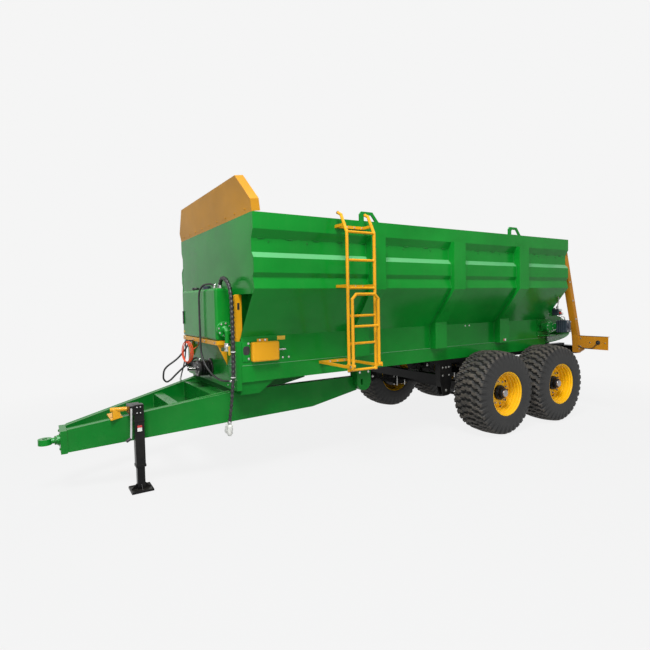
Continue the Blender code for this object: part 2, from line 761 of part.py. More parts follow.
def conveyor_motor():
    """The reduction gear and motor on the drive shaft's left end, and the bracket that carries them."""
    root = KNEE_Y + GAP
    gear = rod("conveyor_motor", (DRIVE_X, root, SHAFT_Z), (DRIVE_X, root + GEAR_L, SHAFT_Z), GEAR_R, 18)
    outer = root + GEAR_L - WELD
    neck = box("gear_neck", (DRIVE_X - MOTOR_BACK, root + BRACKET_PLATE + GAP, SHAFT_Z - NECK_H / 2),
               (DRIVE_X, outer, SHAFT_Z + NECK_H / 2))
    block = box("motor_block", (DRIVE_X - MOTOR_BACK - MOTOR_D / 2, outer - SHEET, SHAFT_Z - MOTOR_H / 2),
                (DRIVE_X - MOTOR_BACK + MOTOR_D / 2, outer - SHEET + MOTOR_L, SHAFT_Z + MOTOR_H / 2))
    dress(join(gear, [neck, block]), "grey_casting")
    low_z, high_z = SHAFT_Z - BRACKET_HALF - RAIL_WEB, KNEE_Z - WELD
    ring = [(BODY_REAR_X - BRACKET_HALF / 2, low_z), (DRIVE_X + BRACKET_HALF, low_z),
            (DRIVE_X + BRACKET_HALF, high_z),
            (BODY_REAR_X - BRACKET_HALF / 2, high_z)]
    plate = outline("motor_bracket", "XZ", ring, root, root + BRACKET_PLATE)
    bore = rod("gear_bore", (DRIVE_X, root - OVERCUT, SHAFT_Z), (DRIVE_X, root + OVERCUT, SHAFT_Z),
               GEAR_R + WELD, 18)
    plate = cut(plate, [bore])
    ribs = []
    for index in range(BRACKET_RIBS):
        z = low_z + WELD + index * BRACKET_RIB_PITCH
        ribs.append(box(f"bracket_rib_{index}", (DRIVE_X + GEAR_R + 4 * WELD, root + BRACKET_PLATE / 2, z),
                        (DRIVE_X + BRACKET_HALF - WELD, root + GEAR_R, z + SHEET)))
    shelf = box("bracket_shelf", (BODY_REAR_X - BRACKET_HALF / 2 + WELD, root + BRACKET_PLATE / 2,
                                  low_z + WELD),
                (DRIVE_X + GEAR_R, root + GEAR_L, low_z + WELD + SHEET))
    dress(join(plate, ribs + [shelf]), "green_paint")


def at(reach):
    """The row place of a reach from the front axle."""
    return FRONT_AXLE_X + reach


def beam_middle(reach):
    """The drawbar beam's middle across, ahead of its kink."""
    return NOSE_BEAM_Y + BEAM_SLOPE * (NOSE_REACH - reach)


def beam_top(reach):
    """The drawbar beam's upper face, ahead of its kink."""
    return NOSE_TOP_Z + (KINK_TOP_Z - NOSE_TOP_Z) * (NOSE_REACH - reach) / (NOSE_REACH - KINK_REACH)


def drawbar_beams():
    """Two fabricated beams from the nose back under the chassis, with their hangers."""
    sill, buried = SILL_Z - GAP, KINK_TOP_Z - 0.02
    front = [(at(3.20), sill), (at(KINK_REACH) - 0.02, sill), (at(KINK_REACH) - 0.02, buried),
             (at(3.38), buried)]
    hook = [(at(1.862), sill), (at(2.068), sill), (at(2.068), 0.830), (at(2.020), 0.775), (at(1.950), 0.765),
            (at(1.895), 0.790), (at(1.862), 0.850)]
    slot = [(at(1.985), 0.905), (at(2.015), 0.905), (at(2.015), 0.835), (at(1.985), 0.835)]
    for label, side in SIDES:
        beam = loft(f"drawbar_beam_{label}", [
            (at(NOSE_REACH), side * NOSE_BEAM_Y, BEAM_W, NOSE_FOOT_Z, NOSE_TOP_Z),
            (at(KINK_REACH), side * SPREAD_Y, BEAM_W, KINK_FOOT_Z, KINK_TOP_Z),
            (at(TAPER_REACH), side * SPREAD_Y, BEAM_W, TAPER_FOOT_Z, KINK_TOP_Z),
            (at(BEAM_TAIL_REACH), side * SPREAD_Y, BEAM_W, BEAM_TAIL_FOOT_Z, KINK_TOP_Z)])
        hangers = [outline(f"hanger_{label}", "XZ", front, *across(side, SPREAD_Y, HANGER_Y)),
                   outline(f"hook_{label}", "XZ", hook, *across(side, SPREAD_Y, HOOK_Y))]
        hole = outline(f"hook_slot_{label}", "XZ", slot,
                       *across(side, SPREAD_Y + BEAM_W / 2 + WELD, HOOK_Y + OVERCUT))
        dress(cut(join(beam, hangers), [hole]), "green_paint")


def drawbar_fittings():
    """The nose plate with its tow eye, and the drawbar's two cross pieces."""
    half = NOSE_BEAM_Y + BEAM_W / 2 + 4 * WELD
    nose = box("drawbar_nose", (at(NOSE_REACH) + GAP, -half, NOSE_FOOT_Z - 4 * WELD),
               (at(NOSE_REACH) + NOSE_PLATE, half, NOSE_TOP_Z - SHEET))
    dress(nose, "green_paint")
    pieces = (
        ("front", CROSS_DRAW_FRONT_REACH, CROSS_DRAW_FRONT_W, CROSS_DRAW_FRONT_H),
        ("rear", CROSS_DRAW_REAR_REACH, CROSS_DRAW_REAR_W, CROSS_DRAW_REAR_H),
    )
    for label, reach, width, depth in pieces:
        inner = beam_middle(reach) - BEAM_W / 2 - GAP
        top = beam_top(reach) - CROSS_DRAW_DROP
        half = width / 2
        ring = [(at(reach) - half, inner + BEAM_SLOPE * half), (at(reach) + half, inner - BEAM_SLOPE * half),
                (at(reach) + half, BEAM_SLOPE * half - inner), (at(reach) - half, -inner - BEAM_SLOPE * half)]
        dress(outline(f"drawbar_cross_{label}", "XY", ring, top - depth, top), "green_paint")
    start = at(NOSE_REACH) + NOSE_PLATE + GAP
    ring = rod("tow_eye", (EYE_X, 0, EYE_Z - EYE_THICK / 2), (EYE_X, 0, EYE_Z + EYE_THICK / 2), EYE_OUTER_R,
               24)
    shank = rod("shank", (start, 0, EYE_Z), (EYE_X - EYE_OUTER_R + OVERCUT / 2, 0, EYE_Z), SHANK_R, 16)
    collar = rod("collar", (start, 0, EYE_Z), (start + COLLAR_L, 0, EYE_Z), COLLAR_R, 16)
    hole = rod("eye_hole", (EYE_X, 0, EYE_Z - EYE_THICK), (EYE_X, 0, EYE_Z + EYE_THICK), EYE_HOLE_R, 24)
    dress(cut(join(ring, [shank, collar]), [hole]), "green_paint")


def jack():
    """The parking jack beside the left beam, on its mount tube and standing on the ground."""
    x = at(JACK_REACH)
    half = JACK_TUBE / 2
    y = beam_middle(JACK_REACH - half) + BEAM_W / 2 + JACK_STAND_OFF + half
    bore = half - JACK_WALL
    tube_body = box("jack_tube", (x - half, y - half, JACK_TUBE_FOOT_Z), (x + half, y + half, JACK_TOP_Z))
    inside = box("jack_bore", (x - bore, y - bore, JACK_TUBE_FOOT_Z - OVERCUT),
                 (x + bore, y + bore, JACK_TOP_Z - JACK_CAP))
    mount_start = Vector((x + 0.235, y - 0.165, MOUNT_TUBE_Z))
    mount_end = Vector((x - 0.055, y - 0.070, MOUNT_TUBE_Z))
    head = box("jack_head", (x - 0.025, y - 0.140, MOUNT_TUBE_Z - HEAD_BLOCK_DOWN),
               (x + 0.090, y + half + 0.006, MOUNT_TUBE_Z + HEAD_BLOCK_UP))
    run = (mount_end - mount_start) * 0.2
    pin_bore = rod("mount_bore", mount_start - run, mount_end + run, MOUNT_TUBE_R + MOUNT_TUBE_PLAY, 16)
    crank_y = y + half + 0.032
    crank = tube("jack_crank", [
        (x + 0.075, y + half, MOUNT_TUBE_Z + 0.030), (x + 0.075, crank_y, MOUNT_TUBE_Z + 0.028),
        (x + 0.090, crank_y, MOUNT_TUBE_Z - 0.260), (x + 0.120, crank_y, MOUNT_TUBE_Z - 0.275)], CRANK_R, 2)
    tube_body = cut(join(tube_body, [head, crank]), [inside, pin_bore])
    tube_body.name = "jack_tube"
    dress(tube_body, "black_paint")
    reach = bore - JACK_SLIDE_GAP
    leg = box("jack_leg", (x - reach, y - reach, JACK_FOOT_THICK / 2), (x + reach, y + reach, JACK_LEG_TOP_Z))
    half_foot = JACK_FOOT_W / 2
    foot = box("jack_foot", (x - half_foot, y - half_foot, 0),
               (x + half_foot, y + half_foot, JACK_FOOT_THICK))
    dress(join(leg, [foot]), "black_paint")
    low_reach, high_reach = JACK_REACH + 0.130, JACK_REACH + 0.240
    inner_y, outer_y = 0.030, beam_middle(low_reach) + BEAM_W / 2
    plate = loft("jack_mount", [
        (at(reach_x), (inner_y + outer_y) / 2, outer_y - inner_y, beam_top(reach_x) + GAP,
         beam_top(reach_x) + GAP + 2 * SHEET)
        for reach_x in (low_reach, high_reach)])
    saddle_reach = JACK_REACH + 0.185
    share = (mount_start.x - at(saddle_reach)) / (mount_start.x - mount_end.x)
    saddle_y = mount_start.y + (mount_end.y - mount_start.y) * share
    saddle = loft("mount_saddle", [
        (at(reach_x), saddle_y, SADDLE_W, beam_top(reach_x) + SHEET, MOUNT_TUBE_Z)
        for reach_x in (saddle_reach - SADDLE_L / 2, saddle_reach + SADDLE_L / 2)])
    bar = rod("mount_tube", mount_start, mount_end, MOUNT_TUBE_R, 16)
    dress(join(plate, [saddle, bar]), "yellow_paint")


def oil_tank():
    """The oil tank across the front with its drain elbow, and its yellow carrier."""
    x = TANK_FRONT_X
    tank = box("oil_tank", (x - TANK_DEPTH, -TANK_HALF_Y, TANK_FOOT_Z), (x, TANK_HALF_Y, TANK_TOP_Z))
    bevel = tank.modifiers.new("rounding", "BEVEL")
    bevel.width = TANK_ROUNDING
    bevel.segments = 2
    tank = as_mesh(tank)
    flange_x, flange_z = x - TANK_DEPTH / 2, TANK_FOOT_Z + TANK_FLANGE_UP
    flange_y = TANK_HALF_Y + 0.018
    flange = rod("flange", (flange_x, TANK_HALF_Y - TANK_ROUNDING, flange_z), (flange_x, flange_y, flange_z),
                 TANK_FLANGE_R, 18)
    drop_y = flange_y + 3 * OUTLET_R
    outlet = tube("outlet", [
        (flange_x, flange_y - SHEET, flange_z), (flange_x, flange_y + OUTLET_R, flange_z),
        (flange_x, drop_y, flange_z - OUTLET_R), (flange_x, drop_y, flange_z - OUTLET_DROP)], OUTLET_R, 2)
    dress(join(tank, [flange, outlet]), "green_paint")
    beam_z = TANK_FOOT_Z - GAP
    back = COVER_X + GAP
    carrier = box("tank_carrier", (back, -TANK_HALF_Y, beam_z - CARRIER_H), (x, TANK_HALF_Y, beam_z))
    gussets, holes = [], []
    for label, side in SIDES:
        low, high = across(side, TANK_HALF_Y - GUSSET_INSET, TANK_HALF_Y - GUSSET_INSET + GUSSET_PLATE)
        ring = [(back, beam_z - CARRIER_H / 2), (x - SHEET, beam_z - CARRIER_H / 2),
                (back, beam_z - CARRIER_H / 2 - GUSSET_H)]
        gussets.append(outline(f"gusset_{label}", "XZ", ring, low, high))
        spot = (back + (x - back) * 0.36, beam_z - CARRIER_H / 2 - GUSSET_H * 0.30)
        holes.append(rod(f"gusset_hole_{label}", (spot[0], low - OVERCUT, spot[1]),
                         (spot[0], high + OVERCUT, spot[1]), GUSSET_HOLE_R, 12))
    dress(cut(join(carrier, gussets), holes), "yellow_paint")


def front_posts():
    """Yellow posts between the lower box and the hopper's front panel, tapered at the foot."""
    front = COVER_X - FRONT_POST_BACK
    back = front - FRONT_POST_D
    foot, top = COVER_TOP_Z + GAP, FRONT_LEDGE_Z - GAP
    ring = [(front, foot), (front, top - 2 * SHEET), (front - 4 * SHEET, top), (back, top),
            (back, foot + FRONT_POST_TAPER), (front - 6 * SHEET, foot)]
    for label, side in SIDES:
        low, high = across(side, FRONT_POST_Y - FRONT_POST_W / 2, FRONT_POST_Y + FRONT_POST_W / 2)
        dress(outline(f"front_post_{label}", "XZ", ring, low, high), "yellow_paint")


def pump():
    """The gearbox with its pump, and the splined stub that the tractor drives."""
    x = COVER_X + GAP
    base = rod("pto_gearbox", (x, PUMP_Y, PUMP_Z), (x + PUMP_L, PUMP_Y, PUMP_Z), PUMP_R, 18)
    stub = rod("stub", (x + PUMP_L - OVERCUT / 2, PUMP_Y, PUMP_Z), (x + STUB_L, PUMP_Y, PUMP_Z), STUB_R, 12)
    body = box("pump_body", (x + PUMP_L / 8, PUMP_Y - PUMP_BODY_W, PUMP_Z - PUMP_R * PUMP_BODY_DOWN),
               (x + PUMP_L * 0.8, PUMP_Y, PUMP_Z + PUMP_R * PUMP_BODY_UP))
    return dress(join(base, [stub, body]), "black_paint")


def tensioner_guards():
    """Yellow guards over the idler shaft's chain tensioners, each with a tab for its two bolts."""
    front = BODY_FRONT_X - GUARD_FRONT_INSET
    for label, side in SIDES:
        low, high = across(side, KNEE_Y + GAP, KNEE_Y + GUARD_DEPTH)
        guard = box(f"tensioner_guard_{label}", (front - GUARD_L, low, GUARD_FOOT_Z),
                    (front, high, GUARD_TOP_Z))
        bevel = guard.modifiers.new("rounding", "BEVEL")
        bevel.width = 2 * SHEET
        bevel.segments = 1
        low, high = across(side, KNEE_Y + GAP, KNEE_Y + SHEET)
        tab = box(f"guard_tab_{label}", (front - GUARD_L * 0.65, low, GUARD_TOP_Z - 3 * SHEET),
                  (front - GUARD_L * 0.25, high, GUARD_TOP_Z + GUARD_TAB_H))
        dress(join(as_mesh(guard), [tab]), "yellow_paint")


def ladder():
    """The ladder on the left side, on its U-shaped stand-offs, with its folding lower section."""
    middle = at(LADDER_REACH)
    rails, parts = [], []
    for sign in (-1, 1):
        x = middle + sign * LADDER_W / 2
        rails.append(tube(f"ladder_rail_{sign}", [
            (x, LADDER_Y, LADDER_FOOT_Z), (x, LADDER_Y, LADDER_BEND_Z),
                                                  (x, LADDER_Y - 0.10, LADDER_TIP_Z - 0.03),
            (x, LADDER_Y - 0.16, LADDER_TIP_Z)], LADDER_TUBE_R, 2))
        low, high = span(x + sign * (LADDER_TUBE_R - PIVOT_EAR / 2),
                         x + sign * (LADDER_TUBE_R + PIVOT_EAR / 2))
        parts.append(box(f"pivot_ear_{sign}", (low, LADDER_Y - PIVOT_EAR, FOLD_HINGE_Z - 0.022),
                         (high, FOLD_Y + 0.022, FOLD_HINGE_Z + 0.022)))
    rungs = [LADDER_FOOT_Z + RUNG_R] + [RUNG_FIRST_Z + index * RUNG_PITCH for index in range(RUNG_COUNT)]
    for index, z in enumerate(rungs):
        parts.append(tube(f"rung_{index}", [(middle - LADDER_W / 2, LADDER_Y, z),
                                            (middle + LADDER_W / 2, LADDER_Y, z)], RUNG_R, 2))
    for label, wall, z, short in (("low", KNEE_Y, JOINT_Z - 0.035, 0.0),
                                  ("mid", EAVE_Y, EAVE_Z + 0.020, 0.0),
                                  ("top", RAIL_FACE_Y, RIM_Z - 0.085, 0.030)):
        half = LADDER_W / 2 + ARM_W / 2
        parts.append(box(f"stand_off_{label}", (middle - half, wall + GAP, z - ARM_H / 2),
                         (middle + half, wall + ARM_W, z + ARM_H / 2)))
        for sign in (-1, 1):
            x = middle + sign * LADDER_W / 2
            parts.append(box(f"arm_{label}_{sign}",
                             (x - ARM_W / 2, wall + ARM_W / 2, z - ARM_H / 2 + WELD / 2),
                             (x + ARM_W / 2, LADDER_Y - short, z + ARM_H / 2 - WELD / 2)))
    main = join(rails[0], rails[1:] + parts)
    main.name = "ladder_main"
    dress(main, "yellow_paint")
    half = LADDER_W / 2 - FOLD_INSET
    hoop = tube("ladder_fold", [
        (middle - half, FOLD_Y, FOLD_HINGE_Z), (middle - half, FOLD_Y, FOLD_TOP_Z - FOLD_CORNER),
        (middle - half + FOLD_CORNER, FOLD_Y, FOLD_TOP_Z), (middle + half - FOLD_CORNER, FOLD_Y, FOLD_TOP_Z),
        (middle + half, FOLD_Y, FOLD_TOP_Z - FOLD_CORNER), (middle + half, FOLD_Y, FOLD_HINGE_Z)],
                LADDER_TUBE_R, 2)
    step = tube("fold_rung", [(middle - half, FOLD_Y, FOLD_RUNG_Z), (middle + half, FOLD_Y, FOLD_RUNG_Z)],
                RUNG_R, 2)
    face = LADDER_W / 2 + LADDER_TUBE_R - PIVOT_EAR / 2 - GAP
    bosses = [rod(f"pivot_boss_{sign}", (middle + sign * (half - LADDER_TUBE_R), FOLD_Y, FOLD_HINGE_Z),
                  (middle + sign * face, FOLD_Y, FOLD_HINGE_Z), LADDER_TUBE_R + 2 * WELD, 12)
              for sign in (-1, 1)]
    dress(join(hoop, [step] + bosses), "yellow_paint")


BEATER_FOOT_X = BODY_REAR_X - BEATER_BACK


def lean_x(z):
    """Where the beaters' leaning axis stands at a height."""
    return BEATER_FOOT_X + (z - DISC_Z) * math.tan(BEATER_LEAN)


def axis_point(side, distance):
    """The point on a beater's axis at a distance above its disc."""
    return (BEATER_FOOT_X + distance * math.sin(BEATER_LEAN), side * BEATER_Y,
            DISC_Z + distance * math.cos(BEATER_LEAN))


def rear_frame():
    """The leaning posts with their light boards, and the beams that carry the beaters."""
    ring = [(BODY_REAR_X - back, z) for back, z in POST_OUTLINE]
    board_x = BODY_REAR_X - BOARD_BACK
    for label, side in SIDES:
        post = outline(f"rear_post_{label}", "XZ", ring,
                       *across(side, POST_Y - POST_W / 2, POST_Y + POST_W / 2))
        low, high = across(side, POST_Y, BOARD_REACH_Y)
        board = box(f"board_{label}", (board_x - SHEET, low, BOARD_FOOT_Z), (board_x, high, BOARD_TOP_Z))
        lip = box(f"lip_{label}", (board_x - BOARD_LIP, low, BOARD_TOP_Z - SHEET),
                  (board_x - WELD, high, BOARD_TOP_Z))
        dress(join(post, [board, lip]), "yellow_paint")
    half_y = POST_Y - POST_W / 2 - GAP
    x = lean_x(TOP_BEAM_FOOT_Z + TOP_BEAM_H / 2)
    top_beam = box("rear_top_beam", (x - TOP_BEAM_D / 2, -half_y, TOP_BEAM_FOOT_Z),
                   (x + TOP_BEAM_D / 2, half_y, TOP_BEAM_FOOT_Z + TOP_BEAM_H))
    x = lean_x(GEAR_BEAM_Z)
    low_beam = box("beater_gear_beam", (x - GEAR_BEAM_D / 2, -half_y, GEAR_BEAM_Z - GEAR_BEAM_H / 2),
                   (x + GEAR_BEAM_D / 2, half_y, GEAR_BEAM_Z + GEAR_BEAM_H / 2))
    arms = []
    for label, side in SIDES:
        low, high = across(side, RAIL_IN_Y, KNEE_Y)
        arms.append(box(f"rear_arm_{label}", (x, low, REAR_ARM_FOOT_Z),
                        (BODY_REAR_X - GAP, high, REAR_ARM_TOP_Z)))
    bearings = [rod(f"bearing_{side}", axis_point(side, BEATER_LENGTH + GAP),
                    axis_point(side, BEATER_LENGTH + BEARING_L),
                    BEARING_R) for side in (-1, 1)]
    gears = [rod(f"gear_{side}", axis_point(side, -BEATER_FOOT - GEAR_CASE_L),
                 axis_point(side, -BEATER_FOOT - GAP),
                 GEAR_CASE_R, 18) for side in (-1, 1)]
    dress(join(top_beam, bearings), "yellow_paint")
    dress(join(low_beam, gears + arms), "black_paint")


def beater(label, side):
    """A leaning rotor: a core with a bladed spiral flight over a spreading disc with paddles."""
    length = BEATER_LENGTH
    core = rod(f"beater_{label}", (0, 0, -BEATER_FOOT), (0, 0, length), CORE_R, 14)
    disc = rod(f"disc_{label}", (0, 0, -DISC_THICK / 2), (0, 0, DISC_THICK / 2), DISC_R, 24)
    mesh = bpy.data.meshes.new(f"flight_{label}")
    mesh.from_pydata([(CORE_R - 10 * WELD, 0, 0), (BEATER_R, 0, 0)], [(0, 1)], [])
    flight = place(f"flight_{label}", mesh)
    rise = (length - FLIGHT_START - FLIGHT_END_GAP) / FLIGHT_TURNS
    screw = flight.modifiers.new("flight", "SCREW")
    screw.angle = side * 2 * math.pi
    screw.iterations = FLIGHT_TURNS
    screw.screw_offset = rise
    screw.steps = FLIGHT_STEPS
    screw.render_steps = FLIGHT_STEPS
    screw.use_merge_vertices = False
    skin = flight.modifiers.new("thickness", "SOLIDIFY")
    skin.thickness = FLIGHT_THICK
    skin.offset = 0
    thirds = flight.modifiers.new("triangles", "TRIANGULATE")
    thirds.quad_method = "FIXED"
    flight = as_mesh(flight)
    flight.matrix_world = Matrix.Translation((0, 0, FLIGHT_START))
    extras = []
    for index in range(PADDLE_COUNT):
        paddle = box(f"paddle_{label}_{index}", (CORE_R - 10 * WELD, -PADDLE_THICK / 2, 0),
                     (DISC_R - 10 * WELD, PADDLE_THICK / 2, PADDLE_H))
        paddle.matrix_world = Matrix.Rotation(2 * math.pi * (index + 0.4) / PADDLE_COUNT, 4, "Z")
        extras.append(paddle)
    for index in range(1, FLIGHT_TURNS * BLADES_A_TURN):
        turn = index / BLADES_A_TURN
        blade = box(f"blade_{label}_{index}", (BEATER_R - BLADE_W, -BLADE_W / 2, -BLADE_THICK / 2),
                    (BEATER_R + BLADE_OUT, BLADE_W / 2, BLADE_THICK / 2 + FLIGHT_THICK))
        tilt = math.atan2(side * rise, 2 * math.pi * BEATER_R)
        blade.matrix_world = (Matrix.Translation((0, 0, FLIGHT_START + turn * rise))
                              @ Matrix.Rotation(side * 2 * math.pi * turn, 4, "Z") @ Matrix.Rotation(tilt, 4,
                                                                                                     "X"))
        extras.append(blade)
    rotor = join(core, [disc, flight] + extras)
    rotor.matrix_world = Matrix.Translation(axis_point(side, 0)) @ Matrix.Rotation(BEATER_LEAN, 4, "Y")
    return dress(rotor, "green_paint")


def tyre(label, x, y):
    """A flotation tyre whose tread bars run in a V round it."""
    profile = [
        (-RIM_W / 2, TYRE_BEAD_R, 0.0, 0.0), (-TYRE_W / 2, TYRE_SIDE_R, 0.0, 0.0),
        (-TYRE_W / 2 + 0.022, TYRE_SHOULDER_R, 1.0, 1.0), (0.0, TYRE_R, 1.0, 0.0),
        (TYRE_W / 2 - 0.022, TYRE_SHOULDER_R, 1.0, 1.0), (TYRE_W / 2, TYRE_SIDE_R, 0.0, 0.0),
        (RIM_W / 2, TYRE_BEAD_R, 0.0, 0.0),
    ]
    count = 2 * LUG_COUNT
    spots = []
    for step in range(count):
        for along, radius, depth, lag in profile:
            angle = -math.pi / 2 + 2 * math.pi * (step - lag) / count
            reach = radius - depth * LUG_DEPTH * (step % 2)
            spots.append((x + reach * math.cos(angle), y + along, TYRE_R + reach * math.sin(angle)))
    width = len(profile)
    faces = []
    for step in range(count):
        a, b = step * width, (step + 1) % count * width
        for strip in range(width):
            nxt = (strip + 1) % width
            faces.append((a + strip, a + nxt, b + nxt, b + strip))
    mesh = bpy.data.meshes.new(f"tyre_{label}")
    mesh.from_pydata(spots, [], faces)
    return dress(as_mesh(place(f"tyre_{label}", mesh)), "tyre_rubber")


def rim(label, x, side):
    """A stepped wheel with its hub, turned as one profile."""
    half = RIM_W / 2
    profile = [
        (0.0, 0.215), (0.050, 0.205), (0.085, 0.180), (HUB_R, 0.160), (HUB_R, 0.110), (0.215, 0.098),
        (0.242, 0.150), (0.262, 0.165), (0.272, half), (RIM_FLANGE_R, half), (0.284, half - 0.020),
        (0.284, -half + 0.020), (RIM_FLANGE_R, -half), (0.272, -half), (0.235, 0.070), (0.140, 0.085),
        (0.140, -AXLE_STUB_INSET), (0.0, -AXLE_STUB_INSET),
    ]
    wheel = turned(f"rim_{label}", profile, (0, side, 0), (x, side * WHEEL_CENTRE_Y, TYRE_R), RIM_STEPS)
    return dress(wheel, "yellow_paint")


def axles():
    """The square axles with their round stubs."""
    half = AXLE_BAR / 2
    stub_end = WHEEL_CENTRE_Y - AXLE_STUB_INSET - GAP
    for row, x in (("front", FRONT_AXLE_X), ("rear", REAR_AXLE_X)):
        bar = box(f"axle_{row}", (x - half, -AXLE_BAR_END_Y, TYRE_R - half),
                  (x + half, AXLE_BAR_END_Y, TYRE_R + half))
        stubs = [rod(f"stub_{row}_{side}", (x, side * (AXLE_BAR_END_Y - OVERCUT), TYRE_R),
                     (x, side * stub_end, TYRE_R),
                     AXLE_STUB_R, 14) for side in (-1, 1)]
        dress(join(bar, stubs), "black_paint")


def subframe():
    """The black subframe under the chassis with its spring hangers and cross tubes."""
    rail_foot = SUBFRAME_TOP_Z - SUBFRAME_H
    inner, outer = SPRING_Y - HANGER_W / 2, SPRING_Y + HANGER_W / 2
    slot_half = SPRING_W / 2 + GAP
    parts, slots = [], []
    for label, side in SIDES:
        low, high = across(side, inner, outer)
        parts.append(box(f"subframe_{label}", (SPRING_REAR_X - HANGER_HALF, low, rail_foot),
                         (at(SUBFRAME_FRONT), high, SUBFRAME_TOP_Z)))
        for spot, x, foot, _ in HANGERS:
            taper = foot + HANGER_TAPER
            ring = [(x - HANGER_HALF, rail_foot + WELD), (x + HANGER_HALF, rail_foot + WELD),
                    (x + HANGER_HALF, taper),
                    (x + HANGER_TOE, foot), (x - HANGER_TOE, foot), (x - HANGER_HALF, taper)]
            parts.append(outline(f"hanger_{label}_{spot}", "XZ", ring, low, high))
            slots.append(box(f"hanger_slot_{label}_{spot}",
                             (x - 2 * HANGER_HALF, side * SPRING_Y - slot_half, foot - OVERCUT),
                             (x + 2 * HANGER_HALF, side * SPRING_Y + slot_half, foot + HANGER_SLOT)))
    for spot, x, _, foot in HANGERS:
        parts.append(box(f"cross_tube_{spot}", (x - CROSS_TUBE / 2, -inner - WELD, foot),
                         (x + CROSS_TUBE / 2, inner + WELD, foot + CROSS_TUBE)))
    frame = cut(join(parts[0], parts[1:]), slots)
    frame.name = "suspension_frame"
    dress(frame, "black_paint")


def leaf_springs():
    """Each side's two underslung leaf springs, with the rocker that joins them."""
    seat = TYRE_R - AXLE_BAR / 2 - GAP
    eye_top, eye_foot = SPRING_EYE_Z + 0.030, SPRING_EYE_Z - 0.020
    end = SPRING_HALF * 2 / 3
    tops = [(end, seat + 0.045), (AXLE_BAR, seat), (-AXLE_BAR, seat), (-end, seat + 0.045)]
    feet = [(end, seat - 0.005), (SPRING_HALF / 2, seat - 0.035), (AXLE_BAR, seat - SPRING_PACK_H),
            (-AXLE_BAR, seat - SPRING_PACK_H), (-SPRING_HALF / 2, seat - 0.035), (-end, seat - 0.005)]
    rocker = [(0.100, eye_top + 0.010), (0.035, 0.717), (-0.035, 0.717), (-0.100, eye_top + 0.010)]
    ring = [(SPRING_FRONT_X + 0.045, eye_top)]
    ring += [(FRONT_AXLE_X + along, z) for along, z in tops]
    ring += [(SPRING_MIDDLE_X + along, z) for along, z in rocker]
    ring += [(REAR_AXLE_X + along, z) for along, z in tops]
    ring += [(SPRING_REAR_X - 0.045, eye_top), (SPRING_REAR_X - 0.045, eye_foot)]
    ring += [(REAR_AXLE_X + along, z) for along, z in feet[::-1]]
    ring += [(SPRING_MIDDLE_X - 0.100, eye_foot), (SPRING_MIDDLE_X + 0.100, eye_foot)]
    ring += [(FRONT_AXLE_X + along, z) for along, z in feet[::-1]]
    ring += [(SPRING_FRONT_X + 0.045, eye_foot)]
    for label, side in SIDES:
        low, high = across(side, SPRING_Y - SPRING_W / 2, SPRING_Y + SPRING_W / 2)
        dress(outline(f"leaf_springs_{label}", "XZ", ring, low, high), "black_paint")


def hoses():
    """Hydraulic hoses that hang or lie free at the front."""
    tank_x, cover_x = TANK_FRONT_X, COVER_X
    top = TANK_TOP_Z + GAP
    carrier_z = TANK_FOOT_Z - CARRIER_H - 2 * GAP
    line_reach = tank_x + 0.070 - FRONT_AXLE_X
    routes = {
        "hose_bundle": (BUNDLE_R, "hose_rubber", [
            (cover_x + 0.03, 0.540, top), (cover_x + 0.03, 0.540, 2.060), (cover_x + 0.04, 0.600, 2.115),
            (cover_x + 0.05, 0.740, 2.120), (cover_x + 0.06, 0.880, 2.050), (cover_x + 0.06, 0.945, 1.900),
            (cover_x + 0.06, 0.955, 1.500), (cover_x + 0.06, 0.935, 1.150), (cover_x + 0.075, 0.905, 0.850),
            (cover_x + 0.090, 0.875, 0.660)]),
        "pump_hose": (HOSE_R, "hose_rubber", [
            (tank_x - 0.07, 0.420, top), (tank_x - 0.07, 0.420, 2.050), (tank_x - 0.05, 0.370, 2.078),
            (tank_x + 0.000, 0.250, 2.070), (tank_x + 0.030, 0.190, 1.990), (tank_x + 0.032, 0.175, 1.800),
            (tank_x + 0.032, 0.180, 1.500), (tank_x + 0.030, 0.200, 1.300), (tank_x + 0.005, 0.280, 1.165),
            (tank_x - 0.030, 0.420, 1.075), (tank_x - 0.050, 0.600, 1.045), (tank_x - 0.060, 0.740, 1.055),
            (cover_x + 0.030, 0.795, 1.060), (cover_x + 0.016, 0.800, 1.060), (cover_x + GAP, 0.800, 1.060)]),
        "loop_hose": (HOSE_R, "hose_rubber", [
            (cover_x + 0.100, -0.060, PUMP_Z + PUMP_R * PUMP_BODY_UP + GAP), (cover_x + 0.100, -0.060, 1.200),
            (cover_x + 0.130, -0.120, 1.225), (cover_x + 0.200, -0.300, 1.120),
                                              (cover_x + 0.260, -0.420, 1.030),
            (cover_x + 0.340, -0.500, 0.930), (cover_x + 0.385, -0.525, 0.915),
                                              (cover_x + 0.410, -0.525, 0.960),
            (cover_x + 0.390, -0.510, 1.080), (cover_x + 0.240, -0.480, 1.200),
                                              (cover_x + 0.130, -0.470, 1.330),
            (cover_x + 0.090, -0.470, 1.420), (cover_x + 0.090, -0.470, carrier_z)]),
        "drain_line": (LINE_R, "hose_rubber", [
            (tank_x - 0.020, -0.621, carrier_z), (tank_x - 0.020, -0.621, 1.400),
                                               (tank_x - 0.016, -0.623, 1.250),
            (tank_x + 0.010, -0.620, 1.100), (tank_x + 0.050, -0.600, 0.980), (tank_x + 0.070, -0.580, 0.920),
            (tank_x + 0.070, -0.580, beam_top(line_reach) + LINE_R / 3)]),
    }
    for name, (radius, material, points) in routes.items():
        route = [Vector(points[0])] + smooth_route(points[1:-1], HOSE_STEP * radius) + [Vector(points[-1])]
        dress(tube(name, route, radius, 2), material)


